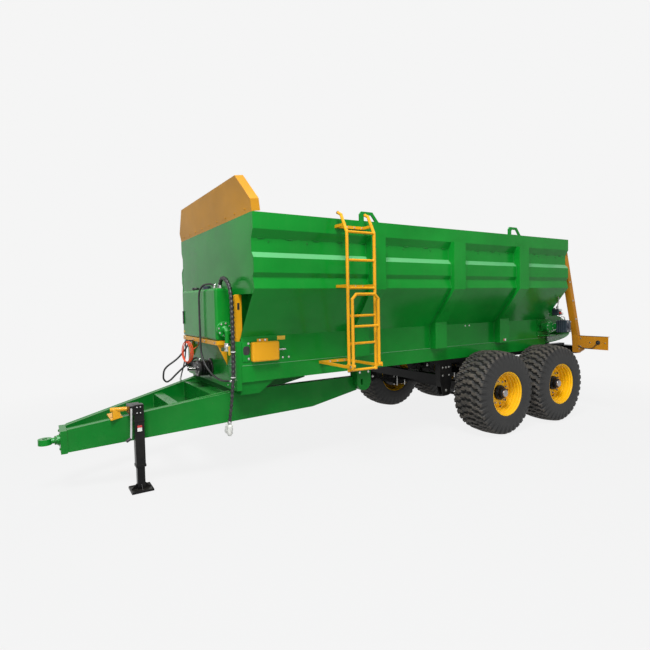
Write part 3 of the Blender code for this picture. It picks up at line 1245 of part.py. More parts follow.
def build():
    """Make every part."""
    for label, side in SIDES:
        body_side(label, side)
        rim_rail(label, side)
        beater(label, side)
    for row, x in (("front", FRONT_AXLE_X), ("rear", REAR_AXLE_X)):
        for label, side in SIDES:
            tyre(f"{row}_{label}", x, side * WHEEL_CENTRE_Y)
            rim(f"{row}_{label}", x, side)
    front_wall()
    front_cover()
    headboard()
    chassis()
    floor()
    conveyor()
    conveyor_motor()
    drawbar_beams()
    drawbar_fittings()
    jack()
    oil_tank()
    front_posts()
    pump()
    tensioner_guards()
    ladder()
    rear_frame()
    axles()
    subframe()
    leaf_springs()
    hoses()


build()
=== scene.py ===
"""Looks of a tandem-axle manure spreader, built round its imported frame.

Metres, +X towards the tow eye, +Y to the machine's left side, +Z up. The ground is z = 0.
"""
import json
import logging
import math
from dataclasses import dataclass
from enum import Enum
from typing import Iterable, Sequence

import bmesh
import bpy
import numpy as np
from mathutils import Matrix, Vector


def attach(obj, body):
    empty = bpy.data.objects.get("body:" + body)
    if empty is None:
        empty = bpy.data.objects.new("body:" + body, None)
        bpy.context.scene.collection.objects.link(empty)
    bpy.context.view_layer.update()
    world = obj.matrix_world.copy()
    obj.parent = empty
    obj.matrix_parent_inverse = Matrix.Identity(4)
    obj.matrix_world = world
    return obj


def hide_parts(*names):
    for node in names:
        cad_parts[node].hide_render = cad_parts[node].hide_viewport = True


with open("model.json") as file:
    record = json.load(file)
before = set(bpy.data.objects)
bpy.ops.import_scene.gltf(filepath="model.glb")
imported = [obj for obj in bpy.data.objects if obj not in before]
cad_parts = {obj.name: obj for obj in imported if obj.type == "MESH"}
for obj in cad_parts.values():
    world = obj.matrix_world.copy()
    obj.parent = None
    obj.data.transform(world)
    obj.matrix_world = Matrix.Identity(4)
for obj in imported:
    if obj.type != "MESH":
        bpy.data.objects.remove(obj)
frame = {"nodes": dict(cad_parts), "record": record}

LOG = logging.getLogger("manure_spreader")
Point = Sequence[float]
Profile = Sequence[tuple[float, float]]
Colour = tuple[float, float, float]
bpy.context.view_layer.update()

FRONT_AXLE_X = -1.42839601
WHEEL_BASE = 1.237
BODY_FRONT = 3.581
BODY_REAR = -1.637
COVER_FRONT = 3.64
RIM_Z = 2.735


def at(reach: float) -> float:
    """Row place of a length counted forward from the front axle."""
    return FRONT_AXLE_X + reach


GAP = 0.0003
SHAFT_Z = 1.395
SHAFT_X = at(BODY_REAR + 0.087)
MOTOR_BACK = 0.225
TANK_FACE = at(BODY_FRONT + 0.179)
TANK_TOP_Z = 2.028
WHEEL_RADIUS = 0.571
BEATER_LEAN = math.radians(15.7)
BEATER_FOOT = (at(BODY_REAR - 0.483), 0.48, 1.2)
BEATER_LENGTH = (2.56 - BEATER_FOOT[2]) / math.cos(BEATER_LEAN)
ORIGIN, UP, DOWN = (0.0, 0.0, 0.0), (0.0, 0.0, 1.0), (0.0, 0.0, -1.0)
AHEAD, BACK, LEFT = (1.0, 0.0, 0.0), (-1.0, 0.0, 0.0), (0.0, 1.0, 0.0)
HEX = 6
WASHER = ((1.15, 0.0), (1.15, 0.16))
HEAD = ((0.88, 0.16), (0.88, 0.66), (0.74, 0.74))
SIDES = (("left", 1), ("right", -1))
PHOTO_SIZE = 650


class Body(Enum):
    """The frame's bodies that pieces ride on."""

    ROOT = "root"
    JACK = "jack_leg"
    FOLD = "ladder_fold"
    WHEEL_FRONT_LEFT = "wheel_front_left"
    WHEEL_FRONT_RIGHT = "wheel_front_right"
    WHEEL_REAR_LEFT = "wheel_rear_left"
    WHEEL_REAR_RIGHT = "wheel_rear_right"
    BEATER_LEFT = "beater_left"
    BEATER_RIGHT = "beater_right"


class Slot(Enum):
    """The record's material slots."""

    GREEN = "green_paint"
    YELLOW = "yellow_paint"
    BLACK = "black_paint"
    STEEL = "bare_steel"
    CASTING = "grey_casting"
    TYRE = "tyre_rubber"
    HOSE = "hose_rubber"


# Shader building


class Wire:
    """A shader socket that takes part in sums and products by adding Math nodes."""

    def __init__(self, tree: "Tree", socket: bpy.types.NodeSocket) -> None:
        """Wrap one output socket of a tree."""
        self.tree = tree
        self.socket = socket

    def _math(self, operation: str, first: "Wire | float", second: "Wire | float") -> "Wire":
        """Add one Math node.

        Args:
            operation: The Math node's operation.
            first: Left value.
            second: Right value.

        Returns:
            The node's result.
        """
        return self.tree.node("ShaderNodeMath", {"operation": operation}, {0: first, 1: second})

    def __add__(self, other: "Wire | float") -> "Wire":
        """Sum."""
        return self._math("ADD", self, other)

    __radd__ = __add__

    def __sub__(self, other: "Wire | float") -> "Wire":
        """Difference."""
        return self._math("SUBTRACT", self, other)

    def __rsub__(self, other: float) -> "Wire":
        """Difference from a number."""
        return self._math("SUBTRACT", other, self)

    def __mul__(self, other: "Wire | float") -> "Wire":
        """Product."""
        return self._math("MULTIPLY", self, other)

    __rmul__ = __mul__

    def __truediv__(self, other: "Wire | float") -> "Wire":
        """Quotient."""
        return self._math("DIVIDE", self, other)

    def clip(self) -> "Wire":
        """The value held between 0 and 1."""
        return self._math("MINIMUM", self._math("MAXIMUM", self, 0.0), 1.0)

    def over(self, low: float, high: float) -> "Wire":
        """A ramp from 0 at low to 1 at high; low may be the larger."""
        return ((self - low) / (high - low)).clip()


class Tree:
    """A node tree whose nodes are all added by one method."""

    def __init__(self, tree: bpy.types.NodeTree) -> None:
        """Wrap the tree of a material or a world."""
        self.tree = tree

    def node(self, kind: str, settings: dict[str, object] | None = None, inputs: dict[object, object] | None = None,
             output: int | str = 0) -> Wire:
        """Add a node.

        Args:
            kind: The node's type name.
            settings: Properties that are set first.
            inputs: Values or links by socket name or index.
            output: The output that is wanted.

        Returns:
            The output's wire.
        """
        made = self.tree.nodes.new(kind)
        for key, value in (settings or {}).items():
            setattr(made, key, value)
        for key, value in (inputs or {}).items():
            self.feed(made.inputs[key], value)
        return Wire(self, made.outputs[output])

    def feed(self, socket: bpy.types.NodeSocket, value: object) -> None:
        """Link a wire to a socket, or set its value."""
        if isinstance(value, Wire):
            self.tree.links.new(value.socket, socket)
        else:
            socket.default_value = value

    def plain_rays(self) -> Wire:
        """One where a ray comes from the camera, off a glossy face or through glass, otherwise zero."""
        path = self.node("ShaderNodeLightPath").socket.node
        flags = [Wire(self, path.outputs[f"Is {kind} Ray"]) for kind in ("Camera", "Glossy", "Transmission")]
        return (flags[0] + flags[1] + flags[2]).clip()


class Shader(Tree):
    """One material's node tree, with its Principled shader."""

    def __init__(self, name: str) -> None:
        """Start an empty material with a Principled shader."""
        self.material = bpy.data.materials.new(name)
        self.material.use_nodes = True
        super().__init__(self.material.node_tree)
        self.principled = self.tree.nodes["Principled BSDF"]
        self._places: dict[str, Wire] = {}

    def place(self, source: str = "Object") -> Wire:
        """The coordinate of that name, made once."""
        if source not in self._places:
            self._places[source] = self.node("ShaderNodeTexCoord", output=source)
        return self._places[source]

    def noise(self, scale: Point | float, detail: float = 4.0, rough: float = 0.55,
              offset: Point = (0, 0, 0)) -> Wire:
        """Cloudy noise between 0 and 1, whose scale is features a metre, one number or one for each axis."""
        each = (scale,) * 3 if isinstance(scale, float) else scale
        place = self.node("ShaderNodeMapping", {}, {"Vector": self.place(), "Scale": each, "Location": offset})
        return self.node("ShaderNodeTexNoise", {},
                         {"Vector": place, "Scale": 1.0, "Detail": detail, "Roughness": rough})

    def axis(self, vector: Wire, index: int) -> Wire:
        """One component of a vector."""
        return self.node("ShaderNodeSeparateXYZ", {}, {0: vector}, index)

    def mix(self, factor: Wire | float, first: object, second: object) -> Wire:
        """Blend two colours."""
        colours = {6: first, 7: second}
        full = {key: (*value, 1.0) if isinstance(value, tuple) else value for key, value in colours.items()}
        return self.node("ShaderNodeMix", {"data_type": "RGBA"}, {0: factor, **full}, 2)

    def clouded(self, factor: Wire, share: float, colour: Colour) -> Wire:
        """A colour that falls to a share of itself where the factor is 0."""
        return self.mix(factor, tuple(share * channel for channel in colour), colour)

    def attribute(self, name: str) -> Wire:
        """A number stored on the mesh."""
        return self.node("ShaderNodeAttribute", {"attribute_name": name}, {}, "Fac")

    def bump(self, height: Wire, distance: float, strength: float = 1.0, under: Wire | None = None) -> Wire:
        """A Bump node over an optional earlier normal."""
        inputs: dict[object, object] = {"Height": height, "Distance": distance, "Strength": strength}
        if under is not None:
            inputs["Normal"] = under
        return self.node("ShaderNodeBump", {}, inputs)

    def finish(self, **sockets: object) -> bpy.types.Material:
        """Set or link the Principled sockets, whose names are written with underscores."""
        for key, value in sockets.items():
            full = (*value, 1.0) if isinstance(value, tuple) and len(value) == 3 else value
            self.feed(self.principled.inputs[key.replace("_", " ")], full)
        return self.material


@dataclass(frozen=True)
class Paint:
    """Sprayed paint on steel: slow colour drift, rain streaks, road dust, small chips and orange peel, with an
    optional painted highlight, a pale tint for reflected sky on faces tilted partly up.
    """

    name: str
    colour: Colour
    roughness: float = 0.3
    coat: float = 0.55
    dust: float = 0.35
    dust_top: float = 0.75
    chips: float = 1.0
    wave: float = 0.0016
    shade: float = 0.8
    dust_colour: Colour = (0.3, 0.27, 0.21)
    primer: Colour = (0.1, 0.07, 0.05)
    # Painted highlight: its strength and colour on faces tilted partly up, for reflected sky.
    painted_sheen: float = 0.0
    painted_sheen_colour: Colour = (0.25, 0.62, 0.34)

    def make(self) -> bpy.types.Material:
        """Build the material.

        Returns:
            The finished material.
        """
        shader = Shader(self.name)
        drift = shader.noise((0.9, 0.9, 1.4), 3.0)
        streak = shader.noise((9.0, 9.0, 0.7), 3.0, 0.6).over(0.5, 0.75)
        speck = shader.noise(55.0, 2.0, 0.6)
        deep = tuple(self.shade * channel for channel in self.colour)
        pale = tuple(min(1.0, 1.14 * channel + 0.004) for channel in self.colour)
        colour = shader.mix(drift.over(0.3, 0.7), deep, pale)
        height = shader.axis(shader.place(), 2)
        low = height.over(1.3, 0.35)
        cloud = shader.noise(3.0, 5.0, 0.65, (5.0, 1.0, 2.0)).over(0.42, 0.72)
        normal = shader.node("ShaderNodeNewGeometry", output="Normal")
        upward = shader.axis(normal, 2).over(0.55, 0.95) * shader.noise(6.0, 5.0, 0.7).over(0.3, 0.62)
        dirt = (low * 0.8 + 0.12) * cloud * self.dust + streak * self.dust * 0.2 + upward * 0.42 * self.dust_top
        dirt = dirt.clip()
        colour = shader.mix(dirt, colour, self.dust_colour)
        # Painted highlight: a pale tint for reflected sky, full where the normal's upward part is 0.6 to 0.75, gone
        # below 0.38 and above 0.9.
        if self.painted_sheen:
            tilt = shader.axis(normal, 2)
            painted_sheen_band = tilt.over(0.38, 0.6) * tilt.over(0.9, 0.75)
            colour = shader.mix(painted_sheen_band * self.painted_sheen, colour, self.painted_sheen_colour)
        chip = (speck.over(0.735, 0.76) * self.chips * shader.noise(2.0, 2.0).over(0.45, 0.6)).clip()
        colour = shader.mix(chip * 0.85, colour, self.primer)
        rough = (shader.noise(4.0, 4.0) * 0.16 + (self.roughness - 0.08) + dirt * 0.45 + chip * 0.3).clip()
        wave = shader.bump(shader.noise(1.6, 1.0), self.wave * 6)
        peel = shader.bump(shader.noise(420.0, 1.0), 0.00012, 0.6, wave)
        edge = shader.bump(1 - chip, 0.0004, 0.7, peel)
        return shader.finish(Base_Color=colour, Roughness=rough, Coat_Weight=self.coat, Coat_Roughness=0.1,
                             Specular_IOR_Level=0.1, Normal=edge)


@dataclass(frozen=True)
class Steel:
    """Bare or plated steel: fine drawn scratches, tarnish clouds and a little rust."""

    name: str
    colour: Colour
    roughness: float = 0.32
    rust: float = 0.3
    metallic: float = 1.0
    grain: Point = (30.0, 30.0, 600.0)
    rust_colour: Colour = (0.14, 0.055, 0.022)

    def make(self) -> bpy.types.Material:
        """Build the material.

        Returns:
            The finished material.
        """
        shader = Shader(self.name)
        scratch = shader.noise(self.grain, 2.0, 0.6)
        cloud = shader.noise(14.0, 5.0, 0.65)
        colour = shader.clouded(cloud.over(0.35, 0.68), 0.62, self.colour)
        rust = (cloud.over(0.57, 0.72) * self.rust * shader.noise(60.0, 4.0).over(0.4, 0.6)).clip()
        colour = shader.mix(rust, colour, self.rust_colour)
        rough = (scratch * 0.25 + self.roughness - 0.12 + rust * 0.5).clip()
        return shader.finish(
            Base_Color=colour, Roughness=rough, Metallic=(self.metallic - rust * self.metallic).clip(),
            Normal=shader.bump(scratch, 0.00015, 0.7))


@dataclass(frozen=True)
class Casting:
    """Painted cast metal with its sand-cast grain."""

    name: str
    colour: Colour
    roughness: float = 0.5

    def make(self) -> bpy.types.Material:
        """Build the material.

        Returns:
            The finished material.
        """
        shader = Shader(self.name)
        grain = shader.noise(180.0, 3.0, 0.6)
        cloud = shader.noise(8.0, 4.0)
        colour = shader.clouded(cloud.over(0.35, 0.65), 0.55, self.colour)
        colour = shader.mix(cloud.over(0.58, 0.78) * 0.16, colour, (0.16, 0.14, 0.11))
        return shader.finish(Base_Color=colour, Roughness=(grain * 0.2 + self.roughness - 0.1).clip(),
                             Normal=shader.bump(grain, 0.0006, 0.8))


@dataclass(frozen=True)
class TyreRubber:
    """Dull black tyre rubber with pale earth on the faces that touch the ground, and painted shade in the tread's
    grooves.
    """

    name: str = "tyre_rubber_dusty"

    def make(self) -> bpy.types.Material:
        """Build the material, which reads from the mesh the earth on the tread, the painted shade in its grooves and
        the place across the tyre.

        Returns:
            The finished material.
        """
        shader = Shader(self.name)
        earth_and_groove_shade = shader.attribute("earth_and_groove_shade")
        cloud = shader.noise(7.0, 6.0, 0.7)
        fine = shader.noise(90.0, 3.0, 0.6)
        colour = shader.mix(fine.over(0.3, 0.7), (0.006, 0.006, 0.006), (0.015, 0.015, 0.0145))
        # Painted shade: the rubber turns darker where the number is low, in the tread's grooves.
        colour = shader.mix(earth_and_groove_shade.over(0.02, 0.4), (0.0025, 0.0025, 0.0025), colour)
        earth = (earth_and_groove_shade.over(0.5, 0.95) * cloud.over(0.3, 0.62) * 0.62 + earth_and_groove_shade * cloud.over(0.5, 0.75) * 0.16).clip()
        colour = shader.mix(earth, colour, (0.105, 0.088, 0.07))
        rough = (fine * 0.12 + 0.6 + earth * 0.2).clip()
        return shader.finish(Base_Color=colour, Roughness=rough, Normal=shader.bump(fine, 0.0005, 0.8))


@dataclass(frozen=True)
class HoseRubber:
    """Hose cover: a fine cloth print that follows the hose, dulled by dust."""

    name: str
    colour: Colour

    def make(self) -> bpy.types.Material:
        """Build the material; its pattern runs on the hose's own UV map, whose u is metres along.

        Returns:
            The finished material.
        """
        shader = Shader(self.name)
        along = shader.axis(shader.place("UV"), 0)
        turn = shader.axis(shader.place("UV"), 1)
        ribs = shader.node("ShaderNodeMath", {"operation": "SINE"}, {0: along * 2400.0 + turn * 2 * math.pi})
        cloud = shader.noise(22.0, 4.0, 0.6)
        pale = tuple(min(1.0, 1.8 * channel + 0.006) for channel in self.colour)
        colour = shader.mix(cloud.over(0.35, 0.7), self.colour, pale)
        colour = shader.mix(cloud.over(0.58, 0.78) * 0.35, colour, (0.2, 0.18, 0.15))
        return shader.finish(
            Base_Color=colour, Roughness=(cloud * 0.3 + 0.3).clip(), Normal=shader.bump(ribs, 0.0002, 0.5))


@dataclass(frozen=True)
class Plain:
    """Moulded or turned small stuff with light speckle, for lamps, caps, films and ties."""

    name: str
    colour: Colour
    roughness: float = 0.35
    metallic: float = 0.0
    coat: float = 0.0

    def make(self) -> bpy.types.Material:
        """Build the material.

        Returns:
            The finished material.
        """
        shader = Shader(self.name)
        cloud = shader.noise(40.0, 4.0, 0.6)
        colour = shader.clouded(cloud.over(0.3, 0.7), 0.72, self.colour)
        colour = shader.mix(cloud.over(0.6, 0.8) * 0.25, colour, (0.24, 0.22, 0.18))
        return shader.finish(Base_Color=colour, Roughness=(cloud * 0.2 + self.roughness - 0.08).clip(),
                             Metallic=self.metallic, Coat_Weight=self.coat, Normal=shader.bump(cloud, 0.0002, 0.5))


class Finishes:
    """Every finish, built when first asked for."""

    # The two gloss greens carry the painted highlight on faces tilted partly up.
    GREEN = Paint("green_gloss", (0.0006, 0.19, 0.015), 0.22, 0.08, 0.06, 0.3, painted_sheen=0.32)
    # Darker copy of the gloss green for the drawbar: its darker colour is painted shade.
    GREEN_BEAM_PAINTED_SHADE = Paint("green_beam_painted_shade", (0.0004, 0.138, 0.012), 0.24, 0.05, 0.04, 0.1, painted_sheen=0.2)
    # Darker, rougher and dustier copy of the green for the underside, welds, bolts and brackets: its darker colour is
    # painted shade.
    GREEN_PLAIN_PAINTED_SHADE = Paint("green_underside_painted_shade", (0.0012, 0.15, 0.016), 0.36, 0.06, 0.3, 0.6)
    YELLOW = Paint("amber_gloss", (0.63, 0.29, 0.005), 0.34, 0.1, 0.16, 0.28, 0.8)
    # Darker copies of the amber gloss, for the headboard and, darker still, the rear posts and top beam: their darker
    # colour is painted shade.
    AMBER_PAINTED_SHADE = Paint("amber_sheet_painted_shade", (0.5, 0.225, 0.01), 0.4, 0.06, 0.2, 0.3, 0.6)
    AMBER_DEEP_PAINTED_SHADE = Paint("amber_post_painted_shade", (0.43, 0.17, 0.005), 0.42, 0.05, 0.2, 0.3, 0.6)
    RIM = Paint("amber_wheel", (0.8, 0.425, 0.001), 0.28, 0.15, 0.08, 0.0, 0.5)
    BLACK = Paint("black_satin", (0.0035, 0.0036, 0.004), 0.32, 0.08, 0.035, 0.1, 0.4)
    STEEL = Steel("worn_steel", (0.42, 0.41, 0.4), 0.36, 0.55)
    ZINC = Steel("zinc_plate", (0.68, 0.68, 0.66), 0.28, 0.1)
    CHROME = Steel("bright_steel", (0.8, 0.8, 0.8), 0.16, 0.0)
    CASTING = Casting("dark_blue_casting", (0.02, 0.03, 0.045), 0.38)
    BLACK_CASTING = Casting("black_casting", (0.01, 0.01, 0.011), 0.42)
    TYRE = TyreRubber()
    HOSE = HoseRubber("hose_black", (0.0035, 0.0035, 0.0035))
    WRAP = HoseRubber("spiral_wrap", (0.004, 0.004, 0.0045))
    FILM = Plain("pale_film", (0.62, 0.62, 0.58), 0.35)
    PALE = Plain("pale_plastic", (0.7, 0.7, 0.66), 0.4)
    RED = Plain("red_plastic", (0.48, 0.018, 0.014), 0.25, coat=0.5)
    LAMP_RED = Plain("lamp_red", (0.42, 0.008, 0.008), 0.12, coat=0.8)
    LAMP_AMBER = Plain("lamp_amber", (0.78, 0.2, 0.01), 0.12, coat=0.8)
    ORANGE = Plain("orange_line", (0.72, 0.085, 0.022), 0.35)
    BLACK_PLASTIC = Plain("black_plastic", (0.014, 0.014, 0.015), 0.42)
    YELLOW_PLASTIC = Plain("yellow_plastic", (0.72, 0.44, 0.02), 0.35)
    SEALER = Plain("pale_green_sealer", (0.11, 0.33, 0.13), 0.45)

    def __init__(self) -> None:
        """Start with nothing built."""
        self._made: dict[str, bpy.types.Material] = {}

    def get(self, finish: object) -> bpy.types.Material:
        """The finish's material."""
        if finish.name not in self._made:
            self._made[finish.name] = finish.make()
        return self._made[finish.name]


FINISH_STORE = Finishes()


# Surfaces from arrays


def direction(vector: Point) -> np.ndarray:
    """A vector scaled to length 1."""
    array = np.asarray(vector, dtype=float)
    return array / np.linalg.norm(array)


def frame_of(axis: Point, up: Point = UP) -> np.ndarray:
    """Three unit rows: across, up and along, where along is the axis.

    Args:
        axis: The direction that becomes the third row.
        up: A direction that the second row stays close to.

    Returns:
        A 3 by 3 array whose rows are the directions.
    """
    along = direction(axis)
    guide = np.asarray(up, dtype=float)
    if abs(float(np.dot(direction(guide), along))) > 0.98:
        guide = np.array((1.0, 0.0, 0.0))
    side = direction(np.cross(guide, along))
    return np.array((side, np.cross(along, side), along))


def circle(count: int, start: float = 0.0) -> np.ndarray:
    """Evenly spaced angles once round, from a start."""
    return np.linspace(start, start + 2 * math.pi, count, endpoint=False)


def travelled_along(path: np.ndarray) -> np.ndarray:
    """The length travelled at each point of a path."""
    return np.concatenate(([0.0], np.cumsum(np.linalg.norm(np.diff(path, axis=0), axis=1))))


def resampled(path: np.ndarray, count: int) -> np.ndarray:
    """That many points along a path, evenly spaced by the length travelled."""
    travelled = travelled_along(path)
    wanted = np.linspace(0.0, travelled[-1], count)
    return np.stack([np.interp(wanted, travelled, path[:, k]) for k in range(3)], axis=1)


def bolt_circle(middle: Point, axis: Point, radius: float, count: int, start: float = 0.0) -> list[list[float]]:
    """Places on a circle square to an axis: middle + radius (cos a, sin a) along the other two axes.

    Args:
        middle: The circle's middle.
        axis: One of the three axes, either way.
        radius: The circle's radius.
        count: How many places.
        start: The first one's angle.

    Returns:
        The places.
    """
    first, second = [k for k in range(3) if not axis[k]]
    spots = []
    for angle in circle(count, start):
        spot = list(middle)
        spot[first] += radius * math.cos(angle)
        spot[second] += radius * math.sin(angle)
        spots.append(spot)
    return spots


def shown(name: str, data: bpy.types.ID) -> bpy.types.Object:
    """A new object in the scene that shows a mesh, a lamp or a camera."""
    made = bpy.data.objects.new(name, data)
    bpy.context.scene.collection.objects.link(made)
    return made


class Form:
    """Vertices and faces that are gathered before they become one piece."""

    def __init__(self) -> None:
        """Start empty."""
        self.points: list[np.ndarray] = []
        self.faces: list[tuple[int, ...]] = []
        self.count = 0
        self.marks: list[np.ndarray] = []

    def add(self, points: np.ndarray, faces: list[tuple[int, ...]], marks: np.ndarray | None = None) -> "Form":
        """Append vertices and their faces.

        Args:
            points: An (n, 3) array.
            faces: Corner numbers within those points.
            marks: A number for each point, kept as the attribute earth_and_groove_shade.

        Returns:
            This form.
        """
        self.points.append(points)
        self.marks.append(np.zeros(len(points)) if marks is None else marks)
        base = self.count
        self.faces += [tuple(base + corner for corner in face) for face in faces]
        self.count += len(points)
        return self

    def rings(self, rings: np.ndarray, capped: bool = True, looped: bool = False,
              marks: np.ndarray | None = None) -> "Form":
        """A skin through rings: point (i, j) joins (i+1, j) and (i, j+1), and the end rings are closed by a face.

        Args:
            rings: An (m, n, 3) array, m rings of n points each.
            capped: Close the first and last ring.
            looped: Join the last ring to the first.
            marks: An (m, n) array of numbers for the attribute.

        Returns:
            This form.
        """
        m, n = rings.shape[:2]
        rows = np.arange(m if looped else m - 1)
        i, j = np.meshgrid(rows, np.arange(n), indexing="ij")
        k, l = (i + 1) % m, (j + 1) % n
        quads = np.stack((i * n + j, i * n + l, k * n + l, k * n + j), axis=-1).reshape(-1, 4)
        faces = [tuple(quad) for quad in quads.tolist()]
        if capped and not looped:
            faces += [tuple(range(n - 1, -1, -1)), tuple(range((m - 1) * n, m * n))]
        return self.add(rings.reshape(-1, 3), faces, None if marks is None else marks.reshape(-1))

    def copies(self, points: np.ndarray, faces: list[tuple[int, ...]], places: np.ndarray,
               frames: np.ndarray) -> "Form":
        """Many placed copies of a small shape: each copy is the points times its frame plus its place.

        Args:
            points: The shape, (n, 3).
            faces: Its faces.
            places: (c, 3) origins.
            frames: (c, 3, 3) direction rows.

        Returns:
            This form.
        """
        spread = np.einsum("nk,ckl->cnl", points, frames) + places[:, None, :]
        n = len(points)
        every = [tuple(copy * n + corner for corner in face) for copy in range(len(places)) for face in faces]
        return self.add(spread.reshape(-1, 3), every)

    def turn(self, profile: Profile, origin: Point, axis: Point, sides: int = 24, start: float = 0.0,
             looped: bool = False) -> "Form":
        """A turned shape: closed at both ends, or a ring whose last point joins its first."""
        return self.rings(turned(profile, origin, axis, sides, start), not looped, looped)

    def block(self, low: Point, high: Point, edge: float = 0.003) -> "Form":
        """A box with broken edges."""
        return self.rings(block(low, high, edge))

    def slab(self, outline: Profile, low: float, high: float, plane: str, edge: float = 0.0012) -> "Form":
        """A flat plate with broken edges."""
        return self.rings(slab(outline, low, high, plane, edge))

    def pipe(self, route: Sequence[Point], radius: float, sides: int = 12) -> "Form":
        """A round bar or pipe on a smooth route."""
        return self.rings(transported(rounded(route, radius * 1.3), radius, sides))

    def bolt(self, places: Iterable[Point], outward: Point, size: float) -> "Form":
        """Hexagon heads with washers, as copies of one turned shape scaled by the head's half width.

        Args:
            places: Where the heads stand.
            outward: The direction that they point.
            size: Half the width of a head.

        Returns:
            This form.
        """
        small = Form().turn(WASHER, ORIGIN, UP, 12).turn(HEAD, ORIGIN, UP, HEX)
        spots = np.array(list(places), dtype=float)
        frames = np.array([frame_of(outward)] * len(spots))
        return self.copies(np.concatenate(small.points) * size, small.faces, spots, frames)

    def weld(self, path: Sequence[Point], radius: float = 0.004, up: Point = UP) -> "Form":
        """A weld bead: a half-sunk tube along a path, whose radius ripples every few millimetres.

        Args:
            path: The seam's corners.
            radius: The bead's radius.
            up: Guide direction that is never along the seam.

        Returns:
            This form.
        """
        corners = np.array(path, dtype=float)
        count = max(4, int(travelled_along(corners)[-1] / (radius * 1.6)))
        angle = circle(6)
        ripple = radius * (1 + 0.16 * np.sin(np.arange(count) * 2.1))
        shape = ripple[:, None, None] * np.stack((np.cos(angle), np.sin(angle)), axis=1)[None]
        return self.rings(carried(resampled(corners, count), shape, up))

    def piece(self, name: str, finish: object, slot: Slot, replaces: Iterable[str] = (), angle: float = 32.0,
              body: Body = Body.ROOT) -> bpy.types.Object:
        """Make the gathered shape a piece of the machine.

        Args:
            name: The piece's name.
            finish: Its finish.
            slot: The record's slot for its finish; not used.
            replaces: Frame nodes that it stands for.
            angle: Edges sharper than this stay sharp.
            body: The body that it rides on.

        Returns:
            The piece's object.
        """
        mesh = bpy.data.meshes.new(name)
        mesh.from_pydata(np.concatenate(self.points).tolist(), [], self.faces)
        outward = bmesh.new()
        outward.from_mesh(mesh)
        bmesh.ops.recalc_face_normals(outward, faces=outward.faces)
        outward.to_mesh(mesh)
        outward.free()
        layer = mesh.attributes.new("earth_and_groove_shade", "FLOAT", "POINT")
        layer.data.foreach_set("value", np.concatenate(self.marks).astype(np.float32))
        piece = shown(name, mesh)
        mesh.materials.append(FINISH_STORE.get(finish))
        mesh.shade_smooth()
        mesh.set_sharp_from_angle(angle=math.radians(angle))
        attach(piece, body.value)
        if replaces:
            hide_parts(*replaces)
        return piece


def forms(count: int) -> list[Form]:
    """That many empty forms."""
    return [Form() for _ in range(count)]


def turned(profile: Profile, origin: Point, axis: Point, sides: int = 24, start: float = 0.0) -> np.ndarray:
    """Rings of a turned shape: ring i lies at profile height h_i with radius r_i, point j at angle 2 pi j / sides.

    Args:
        profile: (radius, place along the axis) pairs.
        origin: Where the axis starts.
        axis: The axis direction.
        sides: Points a ring.
        start: The first point's angle.

    Returns:
        An (m, sides, 3) array.
    """
    across, up, along = frame_of(axis)
    radius, height = np.array(profile, dtype=float).T
    angle = start + circle(sides)
    spoke = np.cos(angle)[:, None] * across + np.sin(angle)[:, None] * up
    return np.asarray(origin) + radius[:, None, None] * spoke[None] + height[:, None, None] * along


def rounded(points: Sequence[Point], step: float) -> np.ndarray:
    """Evenly spaced points on a smooth curve through given ones, each span a cubic with shared tangents.

    Args:
        points: The route's own points.
        step: The wanted spacing.

    Returns:
        An (n, 3) array.
    """
    route = np.array(points, dtype=float)
    route = np.vstack((2 * route[0] - route[1], route, 2 * route[-1] - route[-2]))
    t = np.linspace(0.0, 1.0, 20, endpoint=False)[:, None, None]
    a, b, c, d = route[:-3], route[1:-2], route[2:-1], route[3:]
    spans = 0.5 * (2 * b + (c - a) * t + (2 * a - 5 * b + 4 * c - d) * t ** 2 + (3 * b - a - 3 * c + d) * t ** 3)
    dense = np.vstack((spans.transpose(1, 0, 2).reshape(-1, 3), route[-2:-1]))
    return resampled(dense, max(2, round(travelled_along(dense)[-1] / step)) + 1)


def carried(path: np.ndarray, shape: np.ndarray, up: Point = UP) -> np.ndarray:
    """Rings of a flat shape carried along a path, square to it: path point + x across + y up.

    Args:
        path: (m, 3) points.
        shape: (n, 2) points of the cross-section, or (m, n, 2) where it changes.
        up: Guide direction that is never along the path.

    Returns:
        An (m, n, 3) array.
    """
    path = np.asarray(path, dtype=float)
    run = np.gradient(path, axis=0)
    run /= np.linalg.norm(run, axis=1)[:, None]
    side = np.cross(np.broadcast_to(np.asarray(up, dtype=float), run.shape), run)
    side /= np.linalg.norm(side, axis=1)[:, None]
    rise = np.cross(run, side)
    shape = np.broadcast_to(shape, (len(path), *shape.shape[-2:]))
    return path[:, None, :] + shape[..., :1] * side[:, None, :] + shape[..., 1:] * rise[:, None, :]


def transported(path: np.ndarray, radius: float | np.ndarray, sides: int = 12) -> np.ndarray:
    """Rings of a round tube whose frame turns as little as possible along the path.

    Args:
        path: (m, 3) points.
        radius: The tube's radius, one or for each point.
        sides: Points a ring.

    Returns:
        An (m, sides, 3) array.
    """
    run = np.gradient(path, axis=0)
    run /= np.linalg.norm(run, axis=1)[:, None]
    across = [frame_of(run[0])[0]]
    for tangent in run[1:]:
        flat = across[-1] - tangent * np.dot(across[-1], tangent)
        across.append(flat / np.linalg.norm(flat))
    side = np.array(across)
    rise = np.cross(run, side)
    angle = circle(sides)
    reach = np.broadcast_to(np.asarray(radius, dtype=float), (len(path),))[:, None, None]
    spoke = np.cos(angle)[None, :, None] * side[:, None, :] + np.sin(angle)[None, :, None] * rise[:, None, :]
    return path[:, None, :] + reach * spoke


